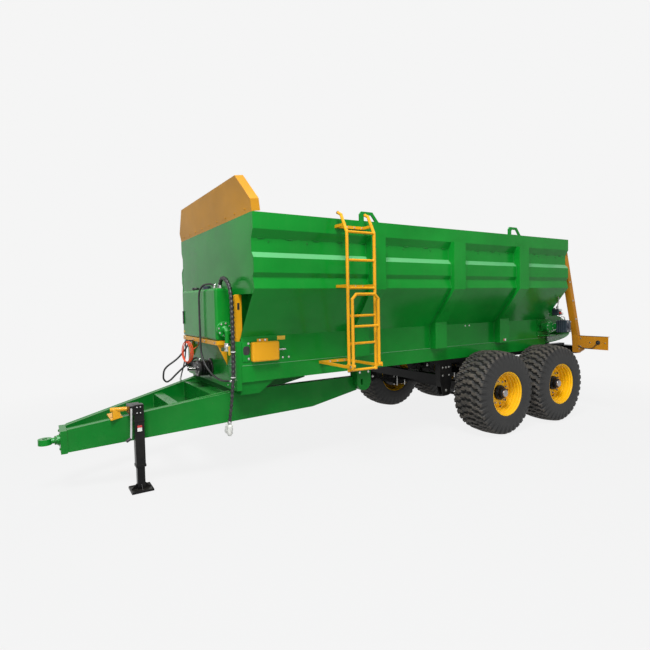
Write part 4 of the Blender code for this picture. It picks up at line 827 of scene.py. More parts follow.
def slab(outline: Profile, low: float, high: float, plane: str, edge: float = 0.0012) -> np.ndarray:
    """Rings of a flat plate: its outline at four levels, drawn in towards its middle at both faces.

    Args:
        outline: The plate's corners.
        low: Lower face, along the plane's normal.
        high: Upper face.
        plane: "XY", "XZ" or "YZ".
        edge: How much the faces' edges are broken.

    Returns:
        A (4, n, 3) array.
    """
    flat = np.array(outline, dtype=float)
    middle = flat.mean(axis=0)
    offset = flat - middle
    size = np.abs(offset).max()
    small = middle + offset * (1 - edge / size)
    order = {"XY": (0, 1, 2), "XZ": (0, 2, 1), "YZ": (1, 2, 0)}[plane]
    levels = ((small, low), (flat, low + edge), (flat, high - edge), (small, high))
    rings = np.zeros((4, len(flat), 3))
    for index, (corners, level) in enumerate(levels):
        rings[index][:, order[0]] = corners[:, 0]
        rings[index][:, order[1]] = corners[:, 1]
        rings[index][:, order[2]] = level
    area = np.sum(flat[:, 0] * np.roll(flat[:, 1], -1) - np.roll(flat[:, 0], -1) * flat[:, 1])
    turned_back = (area < 0) != (plane == "XZ")
    return rings[:, ::-1] if turned_back else rings


def block(low: Point, high: Point, edge: float = 0.003) -> np.ndarray:
    """Rings of a box with broken edges, as a slab whose corners are cut.

    Args:
        low: Lowest corner.
        high: Highest corner.
        edge: Width of the broken edges.

    Returns:
        A (4, 8, 3) array.
    """
    (x0, y0, z0), (x1, y1, z1) = low, high
    e = min(edge, (x1 - x0) / 3, (y1 - y0) / 3, (z1 - z0) / 3)
    corners = [(x0 + e, y0), (x1 - e, y0), (x1, y0 + e), (x1, y1 - e), (x1 - e, y1), (x0 + e, y1), (x0, y1 - e),
               (x0, y0 + e)]
    return slab(corners, z0, z1, "XY", e)


# The machine's sub-assemblies


@dataclass
class Studio:
    """The camera at the photograph's place, a pale floor and plain soft light."""

    camera_place: Point = (at(5.3962), 5.4263, 1.8528)
    yaw: float = 238.08
    pitch: float = -2.75
    roll: float = -1.19
    focal_px: float = 470.06
    sensor: float = 36.0
    pale: Colour = (0.913, 0.913, 0.913)
    sky_strength: float = 0.46
    floor_half: float = 60.0
    fade: tuple[float, float] = (4.6, 7.5)

    def build(self) -> None:
        """Make the camera, the floor, the world and the lamps."""
        self.camera()
        self.floor()
        self.world()
        self.lamps()
        bpy.context.scene.view_settings.view_transform = "Standard"

    def camera(self) -> None:
        """Place the camera: its back axis is against the view, its right axis is turned by the roll."""
        yaw, pitch, roll = (math.radians(v) for v in (self.yaw, self.pitch, self.roll))
        ahead = Vector((math.cos(yaw) * math.cos(pitch), math.sin(yaw) * math.cos(pitch), math.sin(pitch)))
        right = ahead.cross(Vector(UP)).normalized()
        up = right.cross(ahead)
        turned_right = math.cos(roll) * right + math.sin(roll) * up
        turned_up = -math.sin(roll) * right + math.cos(roll) * up
        data = bpy.data.cameras.new("camera")
        data.sensor_width = self.sensor
        data.lens = self.focal_px / PHOTO_SIZE * self.sensor
        camera = shown("camera", data)
        columns = Matrix((turned_right, turned_up, -ahead)).transposed()
        camera.matrix_world = Matrix.Translation(self.camera_place) @ columns.to_4x4()
        bpy.context.scene.camera = camera

    def floor(self) -> None:
        """A wide pale floor that keeps a soft shadow and otherwise meets the background."""
        mesh = bpy.data.meshes.new("floor")
        half = self.floor_half
        mesh.from_pydata([(-half, -half, 0), (half, -half, 0), (half, half, 0), (-half, half, 0)], [], [(0, 1, 2, 3)])
        floor = shown("floor", mesh)
        shader = Shader("pale_floor")
        material = shader.finish(Base_Color=(0.46, 0.46, 0.46), Roughness=0.9)
        distance = shader.node("ShaderNodeVectorMath", {"operation": "LENGTH"}, {0: shader.place()}, 1)
        far = distance.over(*self.fade)
        glow = shader.node("ShaderNodeEmission", {}, {"Color": (*self.pale, 1.0), "Strength": 1.0})
        seen = shader.plain_rays() * (far * 0.07 + 0.93)
        mixed = shader.node("ShaderNodeMixShader", {}, {
            0: seen, 1: Wire(shader, shader.principled.outputs[0]), 2: glow})
        shader.feed(shader.tree.nodes["Material Output"].inputs["Surface"], mixed)
        mesh.materials.append(material)

    def world(self) -> None:
        """An even pale sky for light, and the photograph's plain pale grey behind the machine."""
        world = bpy.data.worlds.new("pale_sky")
        world.use_nodes = True
        tree = Tree(world.node_tree)
        sky = tree.tree.nodes["Background"]
        tree.feed(sky.inputs["Color"], (0.9, 0.95, 1.0, 1.0))
        tree.feed(sky.inputs["Strength"], self.sky_strength)
        seen = tree.node("ShaderNodeBackground", {}, {"Color": (*self.pale, 1.0), "Strength": 1.0})
        mixed = tree.node("ShaderNodeMixShader", {}, {0: tree.plain_rays(), 1: Wire(tree, sky.outputs[0]), 2: seen})
        tree.feed(tree.tree.nodes["World Output"].inputs["Surface"], mixed)
        bpy.context.scene.world = world

    def lamps(self) -> None:
        """A high broad lamp from the front left, a lower fill at the left side and a weak one behind."""
        for name, place, target, size, power in (
            ("key_lamp", (4.5, 5.0, 10.0), (0.3, 0.0, 1.3), 3.6, 1500.0),
            ("side_lamp", (4.5, 10.0, 4.5), (-0.5, 0.0, 1.3), 5.0, 260.0),
            ("back_lamp", (-8.0, -7.0, 6.5), (0.0, 0.0, 1.5), 6.0, 260.0),
        ):
            data = bpy.data.lights.new(name, "AREA")
            data.size, data.energy = size, power
            lamp = shown(name, data)
            aim = Vector(target) - Vector(place)
            lamp.matrix_world = Matrix.Translation(place) @ aim.to_track_quat("-Z", "Y").to_matrix().to_4x4()


@dataclass(frozen=True)
class HoseRun:
    """One hose that hangs free: its node, radius, route and what is at its far end."""

    node: str
    radius: float
    route: tuple[Point, ...]
    far_end: str
    stiffness: str = "stiff"


@dataclass
class Hoses:
    """The hydraulic hoses at the front, which follow the frame's routes, with their fittings."""

    cover_x: float = at(COVER_FRONT)
    tank_x: float = TANK_FACE
    tank_top: float = TANK_TOP_Z + GAP
    carrier_z: float = 1.425 - 2 * GAP
    sides: int = 14

    def runs(self) -> list[HoseRun]:
        """The routes, as the frame's own hoses have them."""
        c, t, top = self.cover_x, self.tank_x, self.tank_top
        line_z = 0.64 + 0.289 * (5.15 - (t + 0.07 - FRONT_AXLE_X)) / 1.54 + 0.008 / 3
        bundle = ((c + 0.03, 0.54, top), (c + 0.03, 0.54, 2.06), (c + 0.04, 0.6, 2.115), (c + 0.05, 0.74, 2.12),
                  (c + 0.06, 0.88, 2.05), (c + 0.06, 0.945, 1.9), (c + 0.06, 0.955, 1.5), (c + 0.06, 0.935, 1.15),
                  (c + 0.075, 0.905, 0.85), (c + 0.09, 0.875, 0.66))
        pump = ((t - 0.07, 0.42, top), (t - 0.07, 0.42, 2.05), (t - 0.05, 0.37, 2.078), (t, 0.25, 2.07),
                (t + 0.03, 0.19, 1.99), (t + 0.032, 0.175, 1.8), (t + 0.032, 0.18, 1.5), (t + 0.03, 0.2, 1.3),
                (t + 0.005, 0.28, 1.165), (t - 0.03, 0.42, 1.075), (t - 0.05, 0.6, 1.045), (t - 0.06, 0.74, 1.055),
                (c + 0.03, 0.795, 1.06), (c + 0.016, 0.8, 1.06), (c + GAP, 0.8, 1.06))
        loop = ((c + 0.1, -0.06, 1.12 + 0.085 * 0.6 + GAP), (c + 0.1, -0.06, 1.2), (c + 0.13, -0.12, 1.225),
                (c + 0.2, -0.3, 1.12), (c + 0.26, -0.42, 1.03), (c + 0.34, -0.5, 0.93), (c + 0.385, -0.525, 0.915),
                (c + 0.41, -0.525, 0.96), (c + 0.39, -0.51, 1.08), (c + 0.24, -0.48, 1.2), (c + 0.13, -0.47, 1.33),
                (c + 0.09, -0.47, 1.42), (c + 0.09, -0.47, self.carrier_z))
        drain = ((t - 0.02, -0.621, self.carrier_z), (t - 0.02, -0.621, 1.4), (t - 0.016, -0.623, 1.25),
                 (t + 0.01, -0.62, 1.1), (t + 0.05, -0.6, 0.98), (t + 0.07, -0.58, 0.92), (t + 0.07, -0.58, line_z))
        return [HoseRun("hose_bundle", 0.021, bundle, "connector"), HoseRun("pump_hose", 0.011, pump, "object"),
                HoseRun("loop_hose", 0.011, loop, "object"), HoseRun("drain_line", 0.008, drain, "object", "medium")]

    def path(self, run: HoseRun) -> np.ndarray:
        """The run's centre line: a straight start and end with a smooth curve between."""
        route = run.route
        middle = rounded(route[1:-1], 5.0 * run.radius)
        return np.vstack((np.array(route[:1]), middle, np.array(route[-1:])))

    def build(self) -> None:
        for run in self.runs():
            line = self.path(run)
            is_bundle = run.node == "hose_bundle"
            fine = rounded(line, 0.0042 if is_bundle else run.radius * 0.9)
            piece, others = self.bundle(run, fine) if is_bundle else self.single(run, fine)
            2 * run.radius

    def skin(self, name: str, path: np.ndarray, radius: np.ndarray | float, finish: object,
             replaces: Iterable[str]) -> bpy.types.Object:
        """A hose's cover with a UV map whose u is metres along and v goes once round."""
        form = Form().rings(transported(path, radius, self.sides))
        piece = form.piece(name, finish, Slot.HOSE, replaces, 50.0)
        mesh = piece.data
        travelled = travelled_along(path)
        corner = np.zeros(len(mesh.loops), dtype=np.int32)
        mesh.loops.foreach_get("vertex_index", corner)
        layer = mesh.uv_layers.new(name="along")
        uv = np.stack((travelled[corner // self.sides], (corner % self.sides) / self.sides), axis=1)
        layer.data.foreach_set("uv", uv.astype(np.float32).ravel())
        return piece

    def ferrule(self, form: Form, end: np.ndarray, away: np.ndarray, radius: float) -> None:
        """A crimped ferrule with a hexagon nut at a hose's end: r steps out, in and out along the hose."""
        sleeve = ((radius * 1.02, 0.0), (radius * 1.35, 0.003), (radius * 1.35, 0.03), (radius * 1.18, 0.034),
                  (radius * 1.3, 0.04), (radius * 1.3, 0.046), (radius * 1.02, 0.05))
        form.turn(sleeve, end, away, 16)
        nut = ((radius * 1.2, 0.0), (radius * 1.62, 0.002), (radius * 1.62, 0.016), (radius * 1.2, 0.018))
        form.turn(nut, end, away, HEX)

    def single(self, run: HoseRun, fine: np.ndarray) -> tuple[bpy.types.Object, list[bpy.types.Object]]:
        """A plain hose with a crimped end at each side."""
        piece = self.skin(f"{run.node}_cover", fine, run.radius, Finishes.HOSE, [run.node])
        form = Form()
        self.ferrule(form, fine[0], fine[1] - fine[0], run.radius)
        self.ferrule(form, fine[-1], fine[-2] - fine[-1], run.radius)
        ends = form.piece(f"{run.node}_ends", Finishes.ZINC, Slot.STEEL, angle=28.0)
        return piece, [ends]

    def bundle(self, run: HoseRun, fine: np.ndarray) -> tuple[bpy.types.Object, list[bpy.types.Object]]:
        """Two hoses in one spiral wrap, whose turns swell the radius, with pale ties and filmed couplers."""
        travelled = travelled_along(fine)
        tight = np.where(fine[:, 2] < 1.1, 0.8, 1.0)
        swell = run.radius * (0.92 + 0.15 * np.sin(travelled * 2 * math.pi / 0.05)) * tight
        piece = self.skin("hose_bundle_wrap", fine, swell, Finishes.WRAP, [run.node])
        ties = Form()
        for height in (1.375, 1.115):
            spot = int(np.argmin(np.abs(fine[:, 2] - height) + 10.0 * (fine[:, 1] < 0.85)))
            rings = ((run.radius, -0.005), (run.radius * 1.12, -0.003), (run.radius * 1.12, 0.003),
                     (run.radius, 0.005))
            ties.turn(rings, fine[spot], fine[spot + 1] - fine[spot], 18)
        tie = ties.piece("hose_bundle_ties", Finishes.PALE, Slot.HOSE)
        couplers, film = forms(2)
        end, away = fine[-1], direction(fine[-1] - fine[-3])
        side = frame_of(away)[0]
        for sign in (-1, 1):
            root = end + side * sign * run.radius * 0.52 - away * 0.004
            couplers.turn(((0.013, 0.0), (0.017, 0.003), (0.017, 0.04), (0.012, 0.044), (0.012, 0.06)),
                          root, away, 16)
            film.turn(((0.018, 0.03), (0.028, 0.042), (0.024, 0.06), (0.031, 0.08), (0.026, 0.1), (0.03, 0.118),
                       (0.022, 0.134), (0.016, 0.143)), root + side * sign * 0.012, away + side * sign * 0.1, 14)
        metal = couplers.piece("hose_bundle_couplers", Finishes.ZINC, Slot.STEEL)
        wrapped = film.piece("hose_bundle_films", Finishes.FILM, Slot.HOSE, angle=60.0)
        tops = Form()
        for sign in (-1, 1):
            self.ferrule(tops, fine[0] + np.array((0.0, sign * 0.016, 0.0)), np.array(UP), 0.013)
        top = tops.piece("hose_bundle_tops", Finishes.ZINC, Slot.STEEL)
        return piece, [tie, metal, wrapped, top]


@dataclass
class Wheels:
    """The four flotation wheels: treaded tyres, stepped rims, hubs and nuts."""

    radius: float = WHEEL_RADIUS
    width: float = 0.5
    centre_y: float = 1.152
    lugs: int = 37
    steps_a_lug: int = 18
    chevron: float = 5.3
    wave: float = 0.15
    wave_length: float = 0.095
    groove: float = 0.024
    rim_width: float = 0.47
    nuts: int = 10
    nut_circle: float = 0.155
    holes: int = 10
    hole_circle: float = 0.214

    def build(self) -> None:
        """Make the four wheels."""
        for row, x in (("front", FRONT_AXLE_X), ("rear", FRONT_AXLE_X - WHEEL_BASE)):
            for label, side in SIDES:
                body = Body(f"wheel_{row}_{label}")
                centre = np.array((x, side * self.centre_y, self.radius))
                self.tyre(f"{row}_{label}", centre, side, body)
                self.rim(f"{row}_{label}", centre, side, body)

    def tyre(self, label: str, centre: np.ndarray, side: int, body: Body) -> None:
        """One tyre, as a surface of the angle round it and the place s along its section.

        The section runs from bead to bead over the sidewalls and the crown. On the crown the radius is lowered by the
        groove's depth where the lug phase is off: phase = lugs * angle / 2 pi + the V's lead times |y|, with a
        smooth wall between bar and groove. The lead also waves, which bends the bars.
        """
        half = self.width / 2
        bead = self.rim_width / 2
        side_half = np.array((
            (bead - 0.012, 0.297), (bead + 0.003, 0.3), (bead + 0.012, 0.312), (half - 0.004, 0.345), (half, 0.385),
            (half, 0.425), (half - 0.003, 0.465), (half - 0.01, 0.5), (half - 0.016, 0.52), (half - 0.024, 0.538),
            (half - 0.034, 0.549), (0.19, 0.5555), (0.16, 0.56), (0.13, 0.5635), (0.1, 0.566), (0.07, 0.568),
            (0.045, 0.5695), (0.022, 0.5705), (0.006, self.radius)))
        section = np.vstack((side_half * (-1.0, 1.0), side_half[::-1]))
        steps = self.lugs * self.steps_a_lug
        theta = circle(steps)[:, None]
        across, radius = section[:, 0][None], section[:, 1][None]
        away = np.abs(across)
        lead = away * self.chevron + self.wave * np.sin(away * 2 * math.pi / self.wave_length)
        phase = (theta * self.lugs / (2 * math.pi) + lead) % 1.0
        bar = np.clip((0.5 - np.abs(phase - 0.5) - 0.185) / 0.05, 0.0, 1.0)
        crown_part = np.clip((radius - 0.515) / 0.022, 0.0, 1.0)
        reach = radius - crown_part * self.groove * (1 - bar)
        wall_zone = np.clip((radius - 0.455) / 0.02, 0.0, 1.0) * (1 - crown_part)
        shift = -np.sign(across) * 0.011 * wall_zone * (1 - bar)
        spin = theta - math.pi / 2
        rings = np.stack(np.broadcast_arrays(centre[0] + reach * np.cos(spin), centre[1] + across + shift,
                                             centre[2] + reach * np.sin(spin)), axis=-1)
        # One number a point: 1 on the bars' tops, which take earth, 0 in the crown's grooves, which the material
        # darkens as painted shade, and 0.42 on the sidewall, less in its grooves.
        earth_and_groove_shade = crown_part * bar + (1 - crown_part) * (0.42 - 0.3 * wall_zone * (1 - bar))
        form = Form().rings(rings[:, ::-1], capped=False, looped=True, marks=earth_and_groove_shade[:, ::-1])
        form.piece(f"tyre_{label}_tread", Finishes.TYRE, Slot.TYRE, [f"tyre_{label}"], 40.0, body=body)

    def rim(self, label: str, centre: np.ndarray, side: int, body: Body) -> None:
        """One wheel: a turned barrel with a dished disc, black discs of painted shade for its hand holes, the hub
        with a cap, and its nuts.
        """
        axis = (0.0, float(side), 0.0)
        half = self.rim_width / 2
        flange = ((0.29, half), (0.2975, half + 0.001), (0.3015, half - 0.004), (0.299, half - 0.012),
                  (0.295, half - 0.02), (0.286, half - 0.026), (0.284, 0.1), (0.272, 0.04))
        barrel = (
            (0.244, 0.065), (0.248, 0.1), (0.252, 0.112), (0.262, 0.118), (0.258, 0.148), (0.26, 0.154),
            (0.274, 0.16), (0.269, 0.19), (0.271, 0.196), (0.283, 0.204), (0.28, 0.222), *flange,
            *((radius, -along) for radius, along in flange[::-1]), (0.282, -half + 0.012), (0.276, -0.205),
            (0.27, -0.12), (0.262, -0.04), (0.256, 0.02), (0.245, 0.06))
        disc = (
            (0.101, 0.088), (0.13, 0.09), (0.175, 0.088), (0.19, 0.079), (0.205, 0.064), (0.22, 0.058),
            (0.235, 0.063), (0.248, 0.073), (0.248, 0.063), (0.235, 0.053), (0.22, 0.048), (0.205, 0.054),
            (0.19, 0.069), (0.175, 0.078), (0.13, 0.08), (0.101, 0.078))
        form = Form().turn(barrel, centre, axis, 72, looped=True).turn(disc, centre, axis, 72, looped=True)
        form.piece(f"rim_{label}_wheel", Finishes.RIM, Slot.YELLOW, [f"rim_{label}"], 35.0, body=body)
        x, y, z = centre
        # Painted shade: a black disc on the wheel's disc stands for the shade seen through each hand hole.
        dark = Form()
        for spot in bolt_circle((x, y + side * 0.0575, z), axis, self.hole_circle, self.holes):
            dark.turn(((0.015, 0.004), (0.019, 0.0065), (0.021, 0.002)), spot, axis, 16)
        dark.piece(f"rim_{label}_hand_hole_shade", Finishes.BLACK_PLASTIC, Slot.BLACK, body=body)
        hub = (
            (0.1, 0.06), (0.101, 0.112), (0.101, 0.122), (0.096, 0.126), (0.078, 0.128), (0.072, 0.134),
            (0.07, 0.176), (0.066, 0.181), (0.052, 0.183), (0.05, 0.186))
        Form().turn(hub, centre, axis, 40).piece(f"hub_{label}", Finishes.BLACK, Slot.BLACK, body=body)
        cap = ((0.0495, 0.184), (0.0495, 0.198), (0.046, 0.2045), (0.036, 0.209), (0.02, 0.2125), (0.004, 0.2135))
        Form().turn(cap, centre, axis, 32).piece(f"hub_cap_{label}", Finishes.STEEL, Slot.STEEL, body=body)
        nuts = bolt_circle((x, y + side * 0.0895, z), axis, self.nut_circle, self.nuts, 0.2)
        bolts = Form().bolt(nuts, axis, 0.0135)
        for place in nuts:
            bolts.turn(((0.0065, 0.0), (0.0065, 0.02), (0.005, 0.022)), place, axis, 10)
        bolts.piece(f"wheel_nuts_{label}", Finishes.STEEL, Slot.STEEL, body=body)
        drum = ((0.205, -0.155), (0.212, -0.15), (0.212, -0.03), (0.205, -0.022), (0.11, -0.018), (0.11, 0.055))
        Form().turn(drum, centre, axis, 48).piece(
            f"brake_drum_{label}", Finishes.BLACK_CASTING, Slot.BLACK, body=body)


@dataclass
class Beaters:
    """The two leaning rear rotors: core, spiral flight with bolted blades, and spreading disc with paddles."""

    foot: Point = BEATER_FOOT
    lean: float = BEATER_LEAN
    length: float = BEATER_LENGTH
    core: float = 0.085
    reach: float = 0.38
    root: float = 0.082
    notch: float = 0.007
    start: float = 0.06
    end_gap: float = 0.09
    turns: int = 3
    blades: int = 4
    paddles: int = 4
    disc: float = 0.44
    thick: float = 0.01
    blade_thick: float = 0.011
    bolt: float = 0.0095

    def build(self) -> None:
        """Make both rotors, whose spirals run opposite ways."""
        for label, side in SIDES:
            self.rotor(label, side)

    def placed(self, rings: np.ndarray, side: int) -> np.ndarray:
        """Points of the rotor's own frame, turned by the lean about Y and moved to its foot."""
        c, s = math.cos(self.lean), math.sin(self.lean)
        turn = np.array(((c, 0.0, -s), (0.0, 1.0, 0.0), (s, 0.0, c)))
        return rings @ turn + np.array((self.foot[0], side * self.foot[1], self.foot[2]))

    def rotor(self, label: str, side: int) -> None:
        """One rotor.

        The flight is a helicoid: at turn t a ring of the section (radius, half thickness) stands at angle
        2 pi t and height start + rise t. Its rim has a notch ahead of every blade.
        """
        body = Body(f"beater_{label}")
        rise = (self.length - self.start - self.end_gap) / self.turns
        t = np.linspace(0.0, self.turns, self.turns * 96 + 1)[:, None]
        near_blade = np.abs((t * self.blades + 0.5) % 1.0 - 0.5)
        rim = self.reach - self.notch * (near_blade > 0.2) * (near_blade < 0.34)
        section = np.array(((0.0, -1.0), (1.0, -1.0), (1.0, 1.0), (0.0, 1.0)))
        radius = self.root + section[:, 0][None] * (rim - self.root)
        angle = side * 2 * math.pi * t
        height = self.start + rise * t + section[:, 1][None] * self.thick / 2
        flight = np.stack(np.broadcast_arrays(radius * np.cos(angle), radius * np.sin(angle), height), axis=-1)
        core = turned(((0.05, -0.05), (self.core, -0.048), (self.core, 0.012), (self.core, self.length - 0.004),
                       (0.07, self.length)), ORIGIN, UP, 40)
        disc = turned(((0.08, -0.006), (self.disc - 0.002, -0.006), (self.disc, -0.004), (self.disc, 0.004),
                       (self.disc - 0.002, 0.006), (0.08, 0.006)), ORIGIN, UP, 96)
        form = Form()
        for rings in (flight, core, disc):
            form.rings(self.placed(rings, side))
        spins = [2 * math.pi * (index + 0.4) / self.paddles for index in range(self.paddles)]
        for spin in spins:
            plate = block((0.075, -0.005, 0.0), (self.disc - 0.006, 0.005, 0.048), 0.002)
            foot = block((0.11, -0.005, 0.006), (self.disc - 0.02, 0.034, 0.012), 0.002)
            for rings in (plate, foot):
                form.rings(self.placed(self.spun(rings, spin), side))
        form.piece(f"beater_{label}_rotor", Finishes.GREEN, Slot.GREEN, [f"beater_{label}"], 30.0, body=body)
        blades, bolts = forms(2)
        tilt = math.atan2(side * rise, 2 * math.pi * self.reach)
        for index in range(1, self.turns * self.blades):
            turn = index / self.blades
            spin = side * 2 * math.pi * turn
            corners = [(0.325, -0.0275), (0.395, -0.0275), (0.415, -0.012), (0.415, 0.0275), (0.325, 0.0275)]
            rings = slab(corners, self.thick / 2, self.thick / 2 + self.blade_thick, "XY", 0.0015)
            lift = np.array((0.0, 0.0, self.start + rise * turn))
            blades.rings(self.placed(self.spun(self.tilted(rings, tilt), spin) + lift, side))
            top = self.thick / 2 + self.blade_thick
            small = Form().bolt([(reach, 0.0, top) for reach in (0.338, 0.366)], UP, self.bolt)
            points = self.spun(self.tilted(np.concatenate(small.points), tilt), spin) + lift
            bolts.add(self.placed(points, side), small.faces)
        for spin in spins:
            small = Form().bolt([(reach, 0.021, 0.012) for reach in (0.15, 0.27, 0.39)], UP, self.bolt)
            bolts.add(self.placed(self.spun(np.concatenate(small.points), spin), side), small.faces)
        blades.piece(f"beater_{label}_blades", Finishes.STEEL, Slot.STEEL, body=body)
        bolts.piece(f"beater_{label}_bolts", Finishes.ZINC, Slot.STEEL, body=body)

    @staticmethod
    def spun(rings: np.ndarray, angle: float) -> np.ndarray:
        """Points turned about the rotor's axis."""
        c, s = math.cos(angle), math.sin(angle)
        return rings @ np.array(((c, s, 0.0), (-s, c, 0.0), (0.0, 0.0, 1.0)))

    @staticmethod
    def tilted(rings: np.ndarray, angle: float) -> np.ndarray:
        """Points turned about the spoke, to lie on the flight."""
        c, s = math.cos(angle), math.sin(angle)
        return rings @ np.array(((1.0, 0.0, 0.0), (0.0, c, s), (0.0, -s, c)))


@dataclass
class Conveyor:
    """The floor conveyor: two chains of plates and rollers with channel slats across them."""

    shaft_z: float = SHAFT_Z
    radius: float = 0.062
    chain_y: float = 0.52
    idler: float = at(BODY_FRONT - 0.181)
    drive: float = SHAFT_X
    slats: int = 11
    slat_half: float = 0.848
    slat_w: float = 0.05
    links: int = 200
    plate: float = 0.0035

    def track(self, share: np.ndarray, radius: float) -> tuple[np.ndarray, np.ndarray]:
        """Points and run directions on the loop: two straights joined by half circles.

        Args:
            share: Places round the loop, 0 to 1.
            radius: The loop's half height.

        Returns:
            (n, 2) points in X and Z, and (n, 2) directions.
        """
        straight = self.idler - self.drive
        arc = math.pi * radius
        s = (share % 1.0) * 2 * (straight + arc)
        turn_front = np.clip((s - straight) / radius, 0.0, math.pi)
        turn_back = np.clip((s - 2 * straight - arc) / radius, 0.0, math.pi)
        on_top, on_foot = np.clip(s, 0.0, straight), np.clip(s - straight - arc, 0.0, straight)
        angle = turn_front + turn_back
        middle = self.drive + on_top - on_foot
        points = np.stack((middle + radius * np.sin(angle), self.shaft_z + radius * np.cos(angle)), axis=1)
        return points, np.stack((np.cos(angle), -np.sin(angle)), axis=1)

    def build(self) -> None:
        """Make the chains and the slats in place of the frame's solid loop."""
        share = np.arange(self.links) / self.links
        points, run = self.track(share, self.radius)
        pitch = 2 * (self.idler - self.drive + math.pi * self.radius) / self.links
        half, tall = pitch * 0.62, 0.0095
        corners = [(-half, -tall * 0.5), (-half * 0.6, -tall), (half * 0.6, -tall), (half, -tall * 0.5),
                   (half, tall * 0.5), (half * 0.6, tall), (-half * 0.6, tall), (-half, tall * 0.5)]
        link = Form()
        for sign in (-1, 1):
            for place, shift in ((0.0165, 0.0), (0.0125, pitch / 2)):
                plate = slab(corners, sign * place - self.plate / 2, sign * place + self.plate / 2, "XZ", 0.0006)
                link.rings(plate + np.array((shift, 0.0, 0.0)))
        link.turn(((0.0085, -0.0105), (0.0085, 0.0105)), ORIGIN, LEFT, 10)
        link.turn(((0.0042, -0.0195), (0.0042, 0.0195)), ORIGIN, LEFT, 8)
        frames = np.zeros((self.links, 3, 3))
        frames[:, 0, 0], frames[:, 0, 2] = run[:, 0], run[:, 1]
        frames[:, 1, 1] = 1.0
        frames[:, 2, 0], frames[:, 2, 2] = -run[:, 1], run[:, 0]
        form = Form()
        for _, side in SIDES:
            places = np.stack((points[:, 0], np.full(self.links, side * self.chain_y), points[:, 1]), axis=1)
            form.copies(np.concatenate(link.points), link.faces, places, frames)
        form.piece("floor_conveyor_chains", Finishes.STEEL, Slot.STEEL, ["floor_conveyor"], 35.0)
        slats, bolts = forms(2)
        gap = (self.idler - self.drive) / self.slats
        w, wall = self.slat_w / 2, 0.005
        section = [(-w, 0.0), (-w, 0.04), (w, 0.04), (w, 0.0), (w - wall, 0.0), (w - wall, 0.04 - wall),
                   (-w + wall, 0.04 - wall), (-w + wall, 0.0)]
        for sign in (1, -1):
            for index in range(self.slats):
                x = self.drive + gap * (index + 0.5)
                z = self.shaft_z + sign * self.radius
                ring = [(x + along, z + sign * up) for along, up in section]
                slats.slab(ring, -self.slat_half, self.slat_half, "XZ", 0.0005)
                bolts.bolt([(x, side * self.chain_y + step, z + sign * 0.0401) for _, side in SIDES
                            for step in (-0.012, 0.012)], (0, 0, sign), 0.0055)
        slats.piece("floor_conveyor_slats", Finishes.STEEL, Slot.STEEL, angle=25.0)
        bolts.piece("floor_conveyor_bolts", Finishes.ZINC, Slot.STEEL)


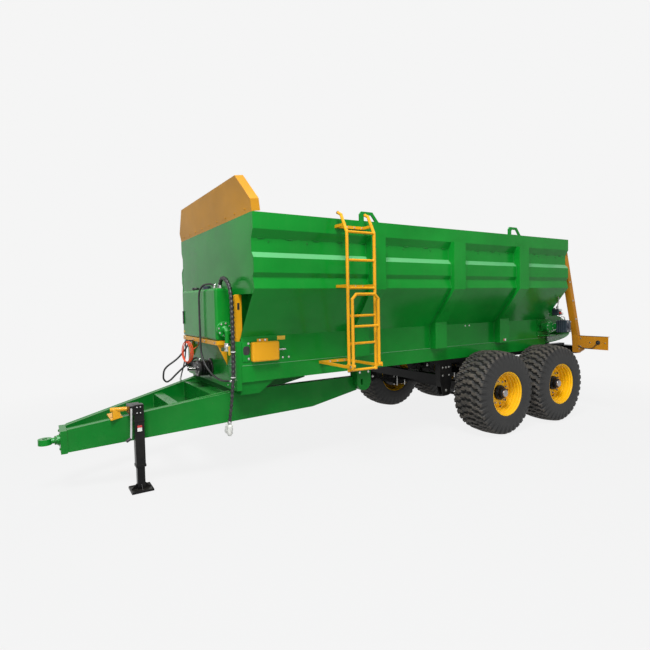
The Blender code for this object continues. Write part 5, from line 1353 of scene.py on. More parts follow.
@dataclass
class Springs:
    """Each side's two underslung springs as stacked leaves, with rocker, pins, clips and U-bolts."""

    y: float = 0.82
    width: float = 0.068
    seat: float = WHEEL_RADIUS - 0.06 - GAP
    leaves: int = 7
    leaf: float = 0.0112
    half: float = 0.6
    sag: float = 0.1
    clip_x: float = 0.33
    rows: tuple[float, float] = (0.0, -WHEEL_BASE)

    def build(self) -> None:
        """Make both sides in place of the frame's solid packs."""
        for label, side in SIDES:
            middle = side * self.y
            pack, bolts, clips = forms(3)
            for reach in self.rows:
                self.pack(pack, clips, at(reach), middle)
                self.clamp(clips, bolts, at(reach), middle)
            rocker_x = at(-WHEEL_BASE / 2)
            corners = [(rocker_x - 0.1, 0.58), (rocker_x + 0.1, 0.58), (rocker_x + 0.1, 0.64),
                       (rocker_x + 0.035, 0.716), (rocker_x - 0.035, 0.716), (rocker_x - 0.1, 0.64)]
            pack.slab(corners, middle - self.width / 2, middle + self.width / 2, "XZ", 0.002)
            pack.piece(f"leaf_springs_{label}_leaves", Finishes.BLACK, Slot.BLACK, [f"leaf_springs_{label}"])
            pins = [(at(self.half + 0.02), 0.615), (rocker_x, 0.69), (at(-WHEEL_BASE - self.half - 0.02), 0.615)]
            for x, z in pins:
                for sign in (-1, 1):
                    face = middle + sign * 0.0453
                    bolts.turn(((0.024, 0.0), (0.024, 0.005), (0.016, 0.006)), (x, face, z), (0, sign, 0), 20)
                    bolts.bolt([(x, face + sign * 0.006, z)], (0, sign, 0), 0.014)
            clips.piece(f"spring_clips_{label}", Finishes.BLACK, Slot.BLACK)
            bolts.piece(f"spring_bolts_{label}", Finishes.ZINC, Slot.STEEL)

    def pack(self, form: Form, clips: Form, x: float, middle: float) -> None:
        """One stack: leaf i ends at half - 0.075 i and sags as the square of the place along it."""
        for index in range(self.leaves):
            end = self.half - 0.075 * index + (0.02 if index == 0 else 0.0)
            s = np.linspace(-end, end, 31)
            z = self.seat - self.leaf * (index + 0.5) + self.sag * (np.abs(s) / self.half) ** 2
            path = np.stack((x + s, np.full(31, middle), z), axis=1)
            w, h = self.width / 2 - 0.0006 * (index % 2), self.leaf / 2 - 0.0006
            shape = np.array(((-w, -h * 0.5), (-w + 0.002, -h), (w - 0.002, -h), (w, -h * 0.5), (w, h * 0.5),
                              (w - 0.002, h), (-w + 0.002, h), (-w, h * 0.5)))
            form.rings(carried(path, shape))
        z = self.seat + self.sag * (self.clip_x / self.half) ** 2
        w = self.width / 2 + 0.004
        for place in (-self.clip_x, self.clip_x):
            clips.block((x + place - 0.014, middle - w, z - 0.05), (x + place + 0.014, middle + w, z + 0.004), 0.002)

    def clamp(self, clips: Form, bolts: Form, x: float, middle: float) -> None:
        """Two U-bolts over the axle, with the plate and the four nuts under the pack."""
        foot = self.seat - self.leaves * self.leaf
        clips.block((x - 0.105, middle - 0.044, foot - 0.014), (x + 0.105, middle + 0.044, foot), 0.003)
        for place in (-0.085, 0.085):
            for sign in (-1, 1):
                y = middle + sign * 0.0395
                bolts.turn(((0.0075, 0.0), (0.0075, 0.205)), (x + place, y, foot - 0.04), UP, 12)
                bolts.bolt([(x + place, y, foot - 0.0145)], DOWN, 0.0125)


@dataclass
class Hopper:
    """Welds, bolts, sealed joints and small plates on the hopper, whose sheets are the frame's own."""

    ribs: tuple[float, ...] = (2.105, 0.81, -0.485)
    rib_half: float = 0.1025
    eyes: tuple[float, ...] = (2.176, -0.365)
    foot_y: float = 0.8665
    profile: tuple[tuple[float, float], ...] = (
        (1.2, 2.489), (1.2, 2.354), (1.247, 2.301), (1.247, 2.155), (1.222, 2.11), (1.25, 2.0), (0.866, 1.513),
        (0.866, 1.214))

    def build(self) -> None:
        """Make the seams, the bolts, the joints and the plates of both sides."""
        seams, bolts, rim_bolts, joint = forms(4)
        for _, side in SIDES:
            for middle in self.ribs:
                for sign in (-1, 1):
                    x = at(middle + sign * (self.rib_half + 0.001))
                    seams.weld([(x, side * y, z) for y, z in self.profile], 0.0055, AHEAD)
            for start in np.arange(BODY_REAR + 0.12, BODY_FRONT - 0.12, 0.31):
                seams.weld([(at(start), side * 1.2015, 2.4885), (at(start + 0.07), side * 1.2015, 2.4885)], 0.0055)
            for middle in self.eyes:
                for y in (1.2125, 1.2335):
                    seams.weld([(at(middle - 0.13), side * y, RIM_Z + 0.001),
                                (at(middle + 0.13), side * y, RIM_Z + 0.001)])
            seams.weld([(at(BODY_FRONT) + 0.001, side * (y - 0.003), z) for y, z in self.profile[1:6]], 0.0045, AHEAD)
            ends = [(at(reach), side * self.foot_y, 1.2125) for reach in (BODY_REAR + 0.01, BODY_FRONT - 0.01)]
            joint.rings(transported(np.linspace(*ends, 60), 0.0032, 8))
            spots = [(at(reach), side * 1.2005, 2.462)
                     for reach in np.arange(BODY_REAR + 0.25, BODY_FRONT - 0.1, 0.435)]
            rim_bolts.bolt(spots, (0, side, 0), 0.008)
            spots = [(at(reach), side * self.foot_y, z)
                     for reach, z in ((0.235, 1.485), (0.155, 1.485), (3.104, 1.268), (3.031, 1.268))]
            bolts.bolt(spots, (0, side, 0), 0.0095)
        seams.piece("hopper_welds", Finishes.GREEN_PLAIN_PAINTED_SHADE, Slot.GREEN, angle=60.0)
        joint.piece("hopper_joint_sealer", Finishes.SEALER, Slot.GREEN, angle=60.0)
        board = [(at(BODY_FRONT) + 0.0072, y, RIM_Z + 0.045) for y in np.linspace(-1.08, 1.08, 9)]
        # The headboard's bolts take its darker amber, whose darkness is painted shade.
        Form().bolt(board, AHEAD, 0.008).piece("headboard_bolts", Finishes.AMBER_PAINTED_SHADE, Slot.YELLOW)
        rim_bolts.piece("rim_bolts", Finishes.GREEN_PLAIN_PAINTED_SHADE, Slot.GREEN)
        spots = [(at(COVER_FRONT) + 0.0005, y, z) for y in (-0.8, -0.48, 0.62, 0.8) for z in (0.99, 1.435)]
        bolts.bolt(spots, AHEAD, 0.0095).piece("hopper_bolts", Finishes.ZINC, Slot.STEEL)
        self.tensioners()
        self.plates()

    def tensioners(self) -> None:
        """The chain tensioners at the front: a bearing plate whose slot is a thin black sheet of painted shade, the
        shaft's end, and the threaded rod.
        """
        plates, slots, bright = forms(3)
        for _, side in SIDES:
            y = side * 0.8664
            low, high = sorted((y, y + side * 0.01))
            plates.block((at(3.4815), low, 1.258), (at(3.572), high, 1.462), 0.002)
            # Painted shade: a thin black sheet on the plate's face stands for the shade inside its slot.
            low, high = sorted((y + side * 0.01, y + side * 0.0112))
            turn = circle(24)
            wide, tall = (size * np.sign(share) * np.abs(share) ** 0.6
                          for size, share in ((0.037, np.cos(turn)), (0.046, np.sin(turn))))
            slots.slab(list(zip(at(3.5265) + wide, 1.37 + tall)), low, high, "XZ", 0.0004)
            bright.bolt([(at(3.503), y + side * 0.01, z) for z in (1.283, 1.442)], (0, side, 0), 0.011)
            bright.bolt([(at(reach), side * 0.8722, 1.47) for reach in (3.31, 3.372)], (0, side, 0), 0.01)
            rod = (at(3.171), side * 0.905, 1.362)
            bright.turn(self.thread(0.0085, 0.085), rod, BACK, 14)
            bright.bolt([(at(reach), side * 0.905, 1.362) for reach in (3.1698, 3.128)], BACK, 0.0165)
        plates.piece("tensioner_plates", Finishes.GREEN, Slot.GREEN)
        slots.piece("tensioner_slot_shade", Finishes.BLACK_PLASTIC, Slot.BLACK)
        bright.piece("tensioner_rods", Finishes.ZINC, Slot.STEEL)

    @staticmethod
    def thread(radius: float, length: float, pitch: float = 0.003) -> list[tuple[float, float]]:
        """A threaded bar's profile: the radius steps in and out once a pitch."""
        steps = int(length / pitch)
        rows = [(radius - (0.001 if index % 2 else 0.0), index * pitch / 2) for index in range(2 * steps)]
        return rows + [(radius - 0.002, length)]

    def plates(self) -> None:
        """The bare yellow plate and the red and white marker on the left side."""
        for name, low, high, edge, finish in (
            ("bare_plate", (at(3.071), 0.8664, 1.462), (at(3.167), 0.869, 1.504), 0.001, Finishes.YELLOW_PLASTIC),
            ("marker_pale", (at(-0.515), 0.9704, 1.235), (at(-0.488), 0.9722, 1.265), 0.0006, Finishes.PALE),
            ("marker_red", (at(-0.488), 0.9704, 1.235), (at(-0.461), 0.9722, 1.265), 0.0006, Finishes.RED),
        ):
            Form().block(low, high, edge).piece(name, finish, Slot.YELLOW)


@dataclass
class Front:
    """The tank's fittings, the gearbox with its pump, the coiled line and painted shade for the posts' slots."""

    face: float = TANK_FACE
    cover: float = at(COVER_FRONT)
    flange_x: float = at(BODY_FRONT + 0.094)
    flange_z: float = 1.59
    side_y: float = 0.63
    tank_top: float = TANK_TOP_Z
    outlet_y: float = 0.72
    pump_y: float = 0.05
    pump_z: float = 1.12
    splines: int = 6
    coil: Point = (at(3.835), -0.19, 1.292)
    coil_half: tuple[float, float] = (0.072, 0.125)

    def build(self) -> None:
        """Make everything on the machine's front."""
        self.flange()
        self.top()
        self.gearbox()
        self.line()
        self.small()

    def flange(self) -> None:
        """The bolted flange on the tank's left end, its elbow's ring, the valve below and its lever."""
        ring, bolts, valve, lever = forms(4)
        centre = (self.flange_x, self.side_y + 0.0183, self.flange_z)
        ring.turn(((0.04, 0.0), (0.0805, 0.0), (0.082, 0.002), (0.082, 0.008), (0.08, 0.01), (0.04, 0.01)), centre,
                  LEFT, 48)
        ring.turn(((0.025, 0.008), (0.036, 0.009), (0.034, 0.018), (0.0255, 0.024)), centre, LEFT, 32)
        bolts.bolt(bolt_circle((centre[0], centre[1] + 0.01, centre[2]), LEFT, 0.064, 8, 0.2), LEFT, 0.0085)
        down = (self.flange_x, self.outlet_y, 1.45)
        valve.turn(((0.0245, 0.0), (0.03, 0.002), (0.03, 0.014), (0.0255, 0.018), (0.0285, 0.024), (0.031, 0.03),
                    (0.031, 0.052), (0.0285, 0.058), (0.0255, 0.064), (0.03, 0.068), (0.03, 0.086), (0.0245, 0.088)),
                   down, DOWN, 8)
        valve.turn(((0.018, 0.0), (0.018, 0.016), (0.009, 0.018), (0.009, 0.026)),
                   (self.flange_x, self.outlet_y + 0.024, 1.409), LEFT, 16)
        lever.slab([(self.flange_x - 0.01, 1.418), (self.flange_x + 0.01, 1.418), (self.flange_x + 0.012, 1.335),
                    (self.flange_x + 0.006, 1.322), (self.flange_x - 0.006, 1.322), (self.flange_x - 0.012, 1.335)],
                   self.outlet_y + 0.05, self.outlet_y + 0.056, "XZ", 0.0015)
        ring.piece("tank_flange_ring", Finishes.GREEN, Slot.GREEN)
        bolts.piece("tank_flange_bolts", Finishes.ZINC, Slot.STEEL)
        valve.piece("tank_valve", Finishes.ZINC, Slot.STEEL)
        lever.piece("tank_valve_lever", Finishes.YELLOW_PLASTIC, Slot.YELLOW)

    def top(self) -> None:
        """The filler with its breather cap, the filter head and the ports that the hoses stand on."""
        black, cast, bright = forms(3)
        z, x = self.tank_top - 0.001, self.flange_x
        black.turn(((0.03, 0.0), (0.03, 0.01), (0.04, 0.012), (0.042, 0.03), (0.038, 0.037), (0.012, 0.041),
                    (0.002, 0.042)), (x, -0.33, z), UP, 28)
        cast.turn(((0.06, 0.0), (0.06, 0.008), (0.048, 0.011), (0.048, 0.036), (0.041, 0.042), (0.003, 0.043)),
                  (x, 0.1, z), UP, 36)
        bright.bolt(bolt_circle((x, 0.1, z + 0.008), UP, 0.052, 4, 0.4), UP, 0.0065)
        for place, y, radius in ((at(COVER_FRONT) + 0.03, 0.54, 0.03), (self.face - 0.07, 0.42, 0.019)):
            bright.turn(((radius, 0.0), (radius * 1.08, 0.002), (radius * 1.08, 0.0105), (radius * 0.9, 0.012)),
                        (place, y, z - 0.008), UP, HEX)
        bright.bolt([(self.face + 0.0005, y, 1.447) for y in (-0.54, -0.2, 0.24, 0.575)], AHEAD, 0.01)
        black.piece("tank_breather", Finishes.BLACK_PLASTIC, Slot.BLACK)
        cast.piece("tank_filter_head", Finishes.CASTING, Slot.CASTING)
        bright.piece("tank_ports", Finishes.ZINC, Slot.STEEL)

    def gearbox(self) -> None:
        """The gearbox's foot ring, fins and front plate, the pump's end plate, and the stub's six splines."""
        dark, bright = forms(2)
        root = (self.cover, self.pump_y, self.pump_z)
        dark.turn(((0.084, 0.0005), (0.104, 0.0005), (0.106, 0.003), (0.106, 0.014), (0.102, 0.017), (0.086, 0.022)),
                  root, AHEAD, 40)
        for place in (0.045, 0.072, 0.099):
            dark.turn(((0.0845, place), (0.092, place + 0.002), (0.092, place + 0.007), (0.0845, place + 0.009)),
                      root, AHEAD, 40)
        dark.turn(((0.0845, 0.132), (0.0925, 0.134), (0.0925, 0.158), (0.088, 0.1625), (0.048, 0.164),
                   (0.045, 0.172), (0.026, 0.1745), (0.018, 0.175)), root, AHEAD, 40)
        y = self.pump_y - 0.3
        dark.block((self.cover + 0.015, y - 0.012, self.pump_z - 0.066),
                   (self.cover + 0.133, y - 0.0005, self.pump_z + 0.058), 0.006)
        spots = bolt_circle((self.cover + 0.164, self.pump_y, self.pump_z), AHEAD, 0.07, 8, 0.3)
        spots += bolt_circle((self.cover + 0.0165, self.pump_y, self.pump_z), AHEAD, 0.098, 6, 0.5)
        bright.bolt(spots, AHEAD, 0.007)
        spots = [(self.cover + 0.03 + dx, y - 0.012, self.pump_z - 0.05 + dz) for dx in (0.0, 0.088)
                 for dz in (0.0, 0.092)]
        bright.bolt(spots, (0, -1, 0), 0.0075)
        for index in range(self.splines):
            angle = 2 * math.pi * index / self.splines
            c, s = math.cos(angle), math.sin(angle)
            bar = block((0.178, -0.0035, 0.0155), (0.262, 0.0035, 0.02), 0.0008)
            turn = np.array(((1.0, 0.0, 0.0), (0.0, c, s), (0.0, -s, c)))
            bright.rings(bar @ turn + np.array(root))
        dark.piece("gearbox_casting", Finishes.BLACK_CASTING, Slot.BLACK)
        bright.piece("gearbox_bolts", Finishes.ZINC, Slot.STEEL)

    def line(self) -> None:
        """The red line tied up in a flat coil: turn angle t, half sizes 0.072 across and 0.125 up, and its clips."""
        t = np.linspace(-0.5 * math.pi, 6.5 * math.pi, 190)
        swing = 1 + 0.07 * np.sin(t * 0.61)
        x0, y0, z0 = self.coil
        wide, tall = self.coil_half
        across = wide * swing * np.cos(t)
        path = np.stack((x0 - 0.012 + 0.0105 * (t + 0.5 * math.pi) / (2 * math.pi) - 0.5 * across,
                         y0 + 0.86 * across, z0 + tall * swing * np.sin(t)), axis=1)
        lead = rounded([(self.face - 0.06, y0 + 0.02, 1.424), (self.face - 0.035, y0 + 0.02, 1.36),
                        (x0 - 0.03, y0 + 0.04, 1.3), (x0 - 0.014, y0 + 0.03, 1.2), tuple(path[0])], 0.008)
        Form().rings(transported(np.vstack((lead[:-1], path)), 0.0052, 10)).piece(
            "coiled_red_line", Finishes.ORANGE, Slot.HOSE, angle=60.0)
        ties = Form()
        for up in (-1, 1):
            ties.block((x0 - 0.02, y0 - 0.006, z0 + up * tall - 0.016),
                       (x0 + 0.034, y0 + 0.006, z0 + up * tall + 0.016), 0.004)
        ties.pipe([(self.face - 0.03, y0, 1.424), (x0 - 0.01, y0, 1.435), (x0 + 0.004, y0, 1.425)], 0.006)
        ties.piece("coil_ties", Finishes.BLACK_PLASTIC, Slot.BLACK)

    def small(self) -> None:
        """The sight gauge, the bare yellow tab, the lamp socket and thin black sheets of painted shade for the slots
        in the yellow posts.
        """
        dark, pale, yellow = forms(3)
        x = self.face + 0.0003
        dark.block((x, -0.592, 1.62), (x + 0.014, -0.566, 1.78), 0.003)
        pale.block((x + 0.0142, -0.586, 1.642), (x + 0.0165, -0.572, 1.758), 0.001)
        yellow.block((x, -0.6, 1.508), (x + 0.003, -0.55, 1.536), 0.001)
        socket = (self.cover + 0.0003, -0.74, 1.075)
        dark.turn(((0.02, 0.0), (0.036, 0.0), (0.036, 0.006), (0.028, 0.009), (0.028, 0.046), (0.033, 0.048),
                   (0.033, 0.058), (0.004, 0.06)), socket, AHEAD, 28)
        # Painted shade: thin black sheets on the posts' side faces stand for the shade inside their slots.
        for side in (1, -1):
            low, high = sorted((side * 0.8353, side * 0.8362))
            dark.block((self.cover - 0.068, low, 1.795), (self.cover - 0.042, high, 1.865), 0.0004)
        for y in (0.93, -0.05):
            dark.block((self.cover + 0.0003, y * 0.86 - 0.02, 1.15), (self.cover + 0.01, y * 0.86 + 0.02, 1.164),
                       0.002)
        dark.piece("front_dark_parts", Finishes.BLACK_PLASTIC, Slot.BLACK)
        pale.piece("sight_tube", Finishes.PALE, Slot.CASTING)
        yellow.piece("bare_tab", Finishes.YELLOW_PLASTIC, Slot.YELLOW)


@dataclass
class Drawbar:
    """Welds, bolts and the jack's details on the drawbar."""

    nose: float = 5.15
    nose_y: float = 0.105
    kink: float = 3.61
    spread: float = 0.655
    nose_top: float = 0.64
    kink_top: float = 0.929
    half: float = 0.045
    jack_x: float = at(4.53)
    jack_y: float = 0.4525
    jack_half: float = 0.045
    crank_z: float = 0.815

    def beam(self, reach: float) -> tuple[float, float]:
        """The beam's middle across and its top, at a length ahead of the kink."""
        share = (self.nose - reach) / (self.nose - self.kink)
        return (self.nose_y + (self.spread - self.nose_y) * share,
                self.nose_top + (self.kink_top - self.nose_top) * share)

    def build(self) -> None:
        """Make the seams, the nose's bolts, the hangers' bolts and the jack's details."""
        seams, bright = forms(2)
        for side in (1, -1):
            for edge in (-1, 1):
                points = []
                for reach in np.linspace(self.nose - 0.01, self.kink, 12):
                    y, z = self.beam(reach)
                    points.append((at(reach), side * (y + edge * (self.half - 0.003)), z - 0.001))
                seams.weld(points, 0.0042)
            y, z = self.beam(self.nose)
            seams.weld([(at(self.nose) + 0.001, side * (y + 0.046), 0.42),
                        (at(self.nose) + 0.001, side * (y + 0.046), 0.63)], 0.005, AHEAD)
            for reach in (4.095, 4.205, self.kink, self.kink + 0.19):
                y, z = self.beam(reach)
                seams.weld([(at(reach), side * (y - self.half - 0.001), z - 0.175),
                            (at(reach), side * (y - self.half - 0.001), z - 0.02)], 0.005, AHEAD)
            for y, size, spots in (
                (0.8655, 0.0135, ((0.56, 0.93), (0.62, 0.93), (0.68, 0.93), (0.56, 0.82), (0.68, 0.82))),
                (0.8005, 0.0125, ((1.9, 0.99), (2.03, 0.99))),
            ):
                bright.bolt([(at(reach), side * y, z) for reach, z in spots], (0, side, 0), size)
        face, painted = at(self.nose + 0.06), Form()
        painted.bolt([(face + 0.0005, y, z) for y in (-0.095, 0.095) for z in (0.448, 0.592)], AHEAD, 0.013)
        painted.turn(((0.031, 0.0), (0.046, 0.002), (0.046, 0.02), (0.031, 0.022)), (face + 0.026, 0, 0.52), AHEAD,
                     HEX)
        bright.turn(((0.0275, -0.0302), (0.034, -0.0306), (0.034, -0.03), (0.0275, -0.029)),
                    (at(5.34), 0, 0.52), DOWN, 32, looped=True)
        painted.piece("nose_bolts", Finishes.GREEN_PLAIN_PAINTED_SHADE, Slot.GREEN)
        seams.piece("drawbar_welds", Finishes.GREEN_PLAIN_PAINTED_SHADE, Slot.GREEN, angle=60.0)
        bright.piece("drawbar_bolts", Finishes.ZINC, Slot.STEEL)
        self.jack()

    def jack(self) -> None:
        """The jack's bands, cap and bolts, its bright crank with a grip, and the foot's ribs."""
        x, y, half = self.jack_x, self.jack_y, self.jack_half
        dark, bright, grip, foot = forms(4)
        corner = math.sqrt(2.0) * half
        quarter = math.pi / 4
        for low, high in ((0.241, 0.268), (0.7, 0.716)):
            dark.turn(((corner + 0.0005, low), (corner + 0.006, low + 0.002), (corner + 0.006, high - 0.002),
                       (corner + 0.0005, high)), (x, y, 0), UP, 4, quarter, looped=True)
        dark.turn(((corner, 0.8605), (corner + 0.004, 0.8615), (corner + 0.004, 0.868), (corner - 0.008, 0.873),
                   (0.02, 0.8745)), (x, y, 0), UP, 4, quarter)
        face = y + half + 0.0063
        spots = [(x + dx, face, self.crank_z + dz) for dx in (-0.012, 0.02) for dz in (-0.022, 0.036)]
        bright.bolt(spots, LEFT, 0.0055)
        crank_y = y + half + 0.032
        route = [(x + 0.075, y + half + 0.007, self.crank_z + 0.03),
                 (x + 0.075, crank_y - 0.006, self.crank_z + 0.028), (x + 0.076, crank_y, self.crank_z + 0.02),
                 (x + 0.083, crank_y, self.crank_z - 0.12), (x + 0.0895, crank_y, self.crank_z - 0.25),
                 (x + 0.094, crank_y, self.crank_z - 0.261), (x + 0.12, crank_y, self.crank_z - 0.275)]
        bright.rings(transported(np.array([route[0], route[1]]), 0.0105, 14))
        bright.pipe(route[1:], 0.01, 14)
        away = np.array(route[-1]) - np.array(route[-2])
        grip.turn(((0.0104, -0.004), (0.015, -0.001), (0.0165, 0.012), (0.015, 0.026), (0.0165, 0.038),
                   (0.014, 0.046), (0.005, 0.048)), tuple(np.array(route[-2])), away, 18)
        inner = 0.0375
        rib = ((inner, 0.016), (inner + 0.055, 0.016), (inner + 0.055, 0.021), (inner + 0.006, 0.07), (inner, 0.07))
        for plane, along, across in (("XZ", x, y), ("YZ", y, x)):
            for sign in (1, -1):
                outline = [(along + sign * out, up) for out, up in rib]
                foot.slab(outline, across - 0.003, across + 0.003, plane, 0.001)
        rim = 0.105 * math.sqrt(2.0)
        foot.turn(((rim - 0.014, 0.0158), (rim - 0.01, 0.0225), (rim - 0.003, 0.0225), (rim - 0.0006, 0.0158)),
                  (x, y, 0), UP, 4, quarter, looped=True)
        red, pale = forms(2)
        pale.block((x - 0.022, y + half + 0.0003, 0.605), (x + 0.022, y + half + 0.0012, 0.665), 0.0003)
        red.block((x - 0.022, y + half + 0.0013, 0.642), (x + 0.022, y + half + 0.002, 0.665), 0.0002)
        pale.piece("bare_jack_plate", Finishes.PALE, Slot.BLACK)
        red.piece("bare_jack_band", Finishes.RED, Slot.BLACK)
        dark.piece("jack_bands", Finishes.BLACK, Slot.BLACK, angle=20.0)
        bright.piece("jack_crank_bright", Finishes.CHROME, Slot.STEEL)
        grip.piece("jack_grip", Finishes.BLACK_PLASTIC, Slot.BLACK)
        foot.piece("jack_foot_ribs", Finishes.BLACK, Slot.BLACK, angle=20.0, body=Body.JACK)


@dataclass
class Rear:
    """Post bolts, light boards with their lamps, the motor's fittings and the bearings' bolts."""

    post_face: float = 1.1975
    board_x: float = at(BODY_REAR - 0.37)
    motor_x: float = at(BODY_REAR + 0.087 - MOTOR_BACK)
    motor_face: float = 1.1713
    shaft_z: float = SHAFT_Z
    post_bolts: tuple[tuple[float, float], ...] = (
        (-1.768, 2.092), (-1.853, 1.799), (-1.934, 1.507), (-2.03, 1.17), (-2.14, 1.17), (-2.03, 1.035),
        (-2.14, 1.035))

    def build(self) -> None:
        """Make everything at the machine's rear."""
        bright = Form()
        for label, side in SIDES:
            spots = [(at(reach), side * (self.post_face + 0.0005), z) for reach, z in self.post_bolts]
            bright.bolt(spots, (0, side, 0), 0.0125)
            self.lamps(label, side)
            self.bearing(bright, side)
        bright.piece("rear_bolts", Finishes.ZINC, Slot.STEEL)
        self.cable()
        self.motor()
        self.valves()

    def lamps(self, label: str, side: int) -> None:
        """One board's rear lamp with its three lenses, and the red triangle beside it."""
        rear = self.board_x - 0.0063
        y = [sorted((side * near, side * far)) for near, far in (
            (1.365, 1.605), (1.375, 1.445), (1.45, 1.52), (1.525, 1.595), (1.25, 1.325))]
        base, red, amber, pale = forms(4)
        base.block((rear - 0.022, y[0][0], 1.085), (rear, y[0][1], 1.19), 0.004)
        for form, (low, high) in zip((red, pale, amber), y[1:4]):
            form.block((rear - 0.044, low, 1.093), (rear - 0.0215, high, 1.182), 0.006)
        low, high = y[4]
        middle = (low + high) / 2
        red.slab([(low, 1.095), (high, 1.095), (middle, 1.162)], rear - 0.01, rear - 0.0003, "YZ", 0.002)
        base.piece(f"lamp_base_{label}", Finishes.BLACK_PLASTIC, Slot.BLACK)
        red.piece(f"lamp_red_{label}", Finishes.LAMP_RED, Slot.YELLOW)
        amber.piece(f"lamp_amber_{label}", Finishes.LAMP_AMBER, Slot.YELLOW)
        pale.piece(f"lamp_pale_{label}", Finishes.PALE, Slot.YELLOW)

    def bearing(self, bright: Form, side: int) -> None:
        """A top bearing's cap screws and a gear case's foot bolts, in rings about the leaning axis."""
        axis = np.array((math.sin(BEATER_LEAN), 0.0, math.cos(BEATER_LEAN)))
        foot = np.array(BEATER_FOOT) * (1, side, 1)
        across, up, _ = frame_of(axis)
        for place, radius, count, outward, size in ((BEATER_LENGTH + 0.1603, 0.052, 6, axis, 0.008),
                                                    (-0.2003, 0.09, 8, -axis, 0.0095)):
            spots = [foot + axis * place + radius * (math.cos(angle) * across + math.sin(angle) * up)
                     for angle in circle(count, 0.2)]
            bright.bolt(spots, outward, size)

    def cable(self) -> None:
        """The left lamp's cable through its grommet on the board's front, and the bolt at the board's end."""
        x = self.board_x
        dark, bright = forms(2)
        dark.turn(((0.012, 0.0), (0.034, 0.0005), (0.034, 0.005), (0.012, 0.012)), (x + 0.0003, 1.509, 1.144), AHEAD,
                  24)
        dark.pipe([(x + 0.001, 1.509, 1.144), (x + 0.02, 1.5, 1.132), (x + 0.014, 1.45, 1.072),
                   (x + 0.008, 1.387, 1.045), (x + 0.008, 1.28, 1.048), (x + 0.01, 1.203, 1.08)], 0.0055, 10)
        dark.block((x + 0.0003, 1.205, 1.2355), (x + 0.002, 1.655, 1.2425), 0.0005)
        spots = [(x + 0.0003, y, z) for y, z in ((1.615, 1.14), (1.385, 1.14), (1.24, 1.2), (1.24, 1.07))]
        bright.bolt(spots, AHEAD, 0.009)
        dark.piece("board_cable", Finishes.BLACK_PLASTIC, Slot.HOSE)
        bright.piece("board_bolts", Finishes.ZINC, Slot.STEEL)

    def motor(self) -> None:
        """The motor's end plate, its four bolts, fins, ports and pipes, and the gear case's ring of bolts."""
        x, y, z = self.motor_x, self.motor_face, self.shaft_z
        case, cast, bright = forms(3)
        case.turn(((0.06, 0.0), (0.082, 0.0), (0.0838, 0.002), (0.0838, 0.046), (0.077, 0.052), (0.077, 0.098),
                   (0.0838, 0.104), (0.0838, 0.138), (0.06, 0.1395)), (SHAFT_X, 0.8665, z), LEFT, 40)
        case.block((x, 0.884, z - 0.043), (SHAFT_X, 1.0055, z + 0.043), 0.008)
        cast.block((x - 0.0545, 0.9985, z - 0.0945), (x + 0.0545, y + 0.0005, z + 0.0945), 0.006)
        cast.block((x - 0.053, y + 0.0003, z - 0.09), (x + 0.053, y + 0.012, z + 0.09), 0.005)
        cast.turn(((0.036, 0.0), (0.036, 0.01), (0.028, 0.014), (0.004, 0.015)), (x, y + 0.012, z), LEFT, 28)
        for index in range(4):
            low = y - 0.15 + index * 0.034
            cast.block((x - 0.0575, low, z - 0.0975), (x + 0.0575, low + 0.008, z + 0.0975), 0.003)
        root = (SHAFT_X, 0.866 + 0.1403, z)
        case.turn(((0.084, -0.01), (0.094, -0.009), (0.094, 0.001), (0.084, 0.003), (0.06, 0.004), (0.056, 0.012),
                   (0.004, 0.013)), root, LEFT, 36)
        bright.bolt([(x + dx, y + 0.012, z + dz) for dx in (-0.038, 0.038) for dz in (-0.072, 0.072)], LEFT, 0.0105)
        bright.bolt(bolt_circle((root[0], root[1] + 0.0035, z), LEFT, 0.074, 8, 0.3), LEFT, 0.008)
        for dy in (0.055, 0.115):
            port = (x + 0.01, y - dy, z + 0.095)
            bright.turn(((0.016, 0.0), (0.017, 0.002), (0.017, 0.016), (0.012, 0.018), (0.012, 0.026)), port, UP, HEX)
        bright.pipe([(x + 0.01, y - 0.055, z + 0.118), (x + 0.012, y - 0.054, z + 0.14),
                     (x + 0.05, y - 0.075, z + 0.158), (x + 0.075, y - 0.13, z + 0.165),
                     (x + 0.076, y - 0.14, z + 0.18)], 0.0075, 12)
        bright.pipe([(x + 0.01, y - 0.115, z + 0.118), (x + 0.01, y - 0.117, z + 0.14),
                     (x + 0.022, y - 0.135, z + 0.16), (x + 0.026, y - 0.14, z + 0.18)], 0.0075, 12)
        case.piece("motor_gear_case", Finishes.GREEN_PLAIN_PAINTED_SHADE, Slot.GREEN, ["conveyor_motor"])
        cast.piece("motor_casting", Finishes.CASTING, Slot.CASTING, ["conveyor_motor"])
        bright.piece("motor_bolts", Finishes.ZINC, Slot.STEEL)

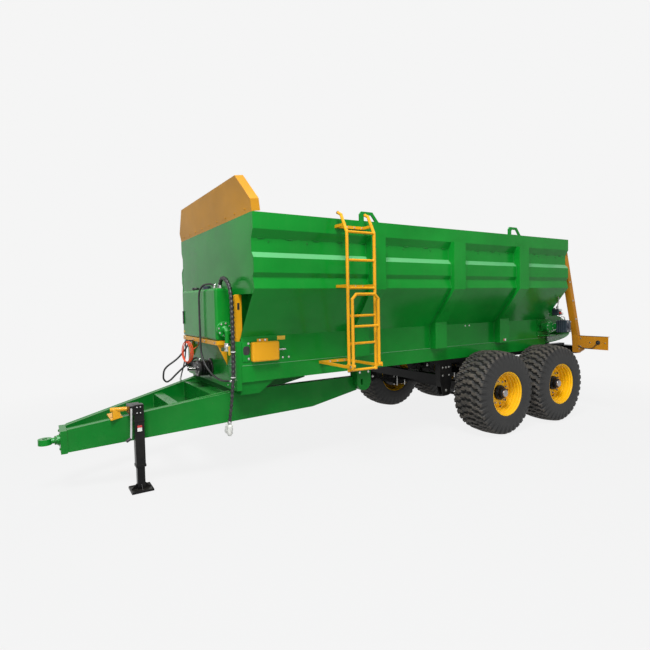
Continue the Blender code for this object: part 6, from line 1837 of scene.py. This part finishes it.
    def valves(self) -> None:
        """The valve block on its bracket behind the hopper, with white and red caps and a lever up the slope."""
        x = at(-1.77)
        cast, pale, red, bright, plate = forms(5)
        cast.block((x, 0.952, 1.572), (x + 0.085, 1.062, 1.672), 0.005)
        plate.block((x - 0.012, 0.944, 1.556), (at(BODY_REAR) + 0.012, 0.952, 1.69), 0.003)
        for form, dx, z, radius in ((pale, 0.06, 1.655, 0.019), (pale, 0.022, 1.598, 0.021),
                                    (red, 0.058, 1.606, 0.014)):
            form.turn(((radius - 0.002, 0.0), (radius, 0.003), (radius, 0.03), (radius * 0.7, 0.036),
                       (0.004, 0.038)), (x + dx, 1.062, z), LEFT, 18)
        pale.turn(((0.017, 0.0), (0.018, 0.002), (0.018, 0.04), (0.012, 0.046), (0.003, 0.048)),
                  (x + 0.03, 1.01, 1.672), UP, 18)
        bright.pipe([(x + 0.07, 1.02, 1.668), (x + 0.078, 1.024, 1.695), (at(-1.65), 1.075, 1.735),
                     (at(-1.5), 1.178, 1.862)], 0.0065, 10)
        plate.piece("valve_bracket", Finishes.GREEN_PLAIN_PAINTED_SHADE, Slot.GREEN)
        cast.piece("valve_block", Finishes.CASTING, Slot.CASTING)
        pale.piece("valve_cap_white", Finishes.PALE, Slot.CASTING)
        red.piece("valve_cap_red", Finishes.RED, Slot.CASTING)
        bright.piece("valve_lever", Finishes.ZINC, Slot.STEEL)


@dataclass
class Ladder:
    """The ladder's rung collars, stand-off bolts, end plugs and pivot bolts."""

    middle: float = at(2.46)
    half: float = 0.175
    y: float = 1.45
    fold_y: float = 1.515
    hinge_z: float = 1.19

    def build(self) -> None:
        """Make the small things on the fixed and the folding section."""
        fixed, fold, bright, plugs, pivot = forms(5)
        collar = ((0.0132, 0.0), (0.0185, 0.001), (0.016, 0.005), (0.0132, 0.007))
        for z in (1.143, *(1.42 + 0.288 * index for index in range(5))):
            for sign in (-1, 1):
                root = (self.middle + sign * (self.half - 0.0165), self.y, z)
                fixed.turn(collar, root, (-sign, 0, 0), 20)
            for place in np.linspace(-0.11, 0.11, 9):
                fixed.turn(((0.0128, 0.0), (0.0142, 0.001), (0.0142, 0.003), (0.0128, 0.004)),
                           (self.middle + place, self.y, z), AHEAD, 16)
        for sign in (-1, 1):
            root = (self.middle + sign * (self.half - 0.008 - 0.0165), self.fold_y, 1.6)
            fold.turn(collar, root, (-sign, 0, 0), 20)
            tip = (self.middle + sign * self.half, self.y - 0.1585, 2.7893)
            plugs.turn(((0.016, -0.002), (0.0178, 0.0), (0.0178, 0.003), (0.012, 0.006)), tip, (0, -0.78, 0.62), 20)
            foot = (self.middle + sign * self.half, self.y, 1.1296)
            plugs.turn(((0.016, -0.001), (0.0176, 0.0), (0.0176, 0.004), (0.012, 0.006)), foot, DOWN, 20)
            ear = self.middle + sign * (self.half + 0.017 + 0.0063)
            pivot.bolt([(ear, self.fold_y, self.hinge_z)], (sign, 0, 0), 0.0125)
        for wall, z in ((0.866, 1.177), (1.25, 2.02), (1.247, 2.65)):
            spots = [(self.middle + dx, wall + 0.0243, z) for dx in (-0.15, -0.05, 0.05, 0.15)]
            bright.bolt(spots, LEFT, 0.008)
        fixed.piece("ladder_rung_grips", Finishes.YELLOW, Slot.YELLOW)
        fold.piece("ladder_fold_collars", Finishes.YELLOW, Slot.YELLOW, body=Body.FOLD)
        bright.piece("ladder_bolts", Finishes.ZINC, Slot.STEEL)
        pivot.piece("ladder_pivots", Finishes.ZINC, Slot.STEEL)
        plugs.piece("ladder_plugs", Finishes.BLACK_PLASTIC, Slot.BLACK)


def dress_frame() -> None:
    """Give every frame node that stays its finish, by its part of the machine."""
    usual = {Slot.GREEN: Finishes.GREEN, Slot.YELLOW: Finishes.YELLOW, Slot.BLACK: Finishes.BLACK,
             Slot.STEEL: Finishes.STEEL, Slot.CASTING: Finishes.CASTING, Slot.TYRE: Finishes.TYRE,
             Slot.HOSE: Finishes.HOSE}
    # Darker copies of the paint, whose darkness is painted shade, for the underside plates and cross members, the
    # drawbar, the headboard and the rear posts and top beam.
    own = {("floor_plate", "cross_member"): Finishes.GREEN_PLAIN_PAINTED_SHADE, ("drawbar",): Finishes.GREEN_BEAM_PAINTED_SHADE,
           ("headboard",): Finishes.AMBER_PAINTED_SHADE, ("rear_post", "rear_top_beam"): Finishes.AMBER_DEEP_PAINTED_SHADE}
    slots = {row["node"]: Slot(row["material_slot"]) for row in frame["record"]["subparts"]}
    for name, node in frame["nodes"].items():
        special = (finish for starts, finish in own.items() if name.startswith(starts))
        finish = next(special, usual[slots.get(name, Slot.GREEN)])
        for material_slot in node.material_slots:
            material_slot.material = FINISH_STORE.get(finish)


def main() -> None:
    """Build the machine's looks in order, and report each step."""
    logging.basicConfig(level=logging.INFO, format="%(message)s")
    for part in (Studio(), Hopper(), Front(), Drawbar(), Ladder(), Rear(), Conveyor(), Beaters(), Springs(), Hoses(),
                 Wheels()):
        part.build()
        LOG.info("%s built", type(part).__name__)
    dress_frame()


if __name__ == "__main__":
    main()
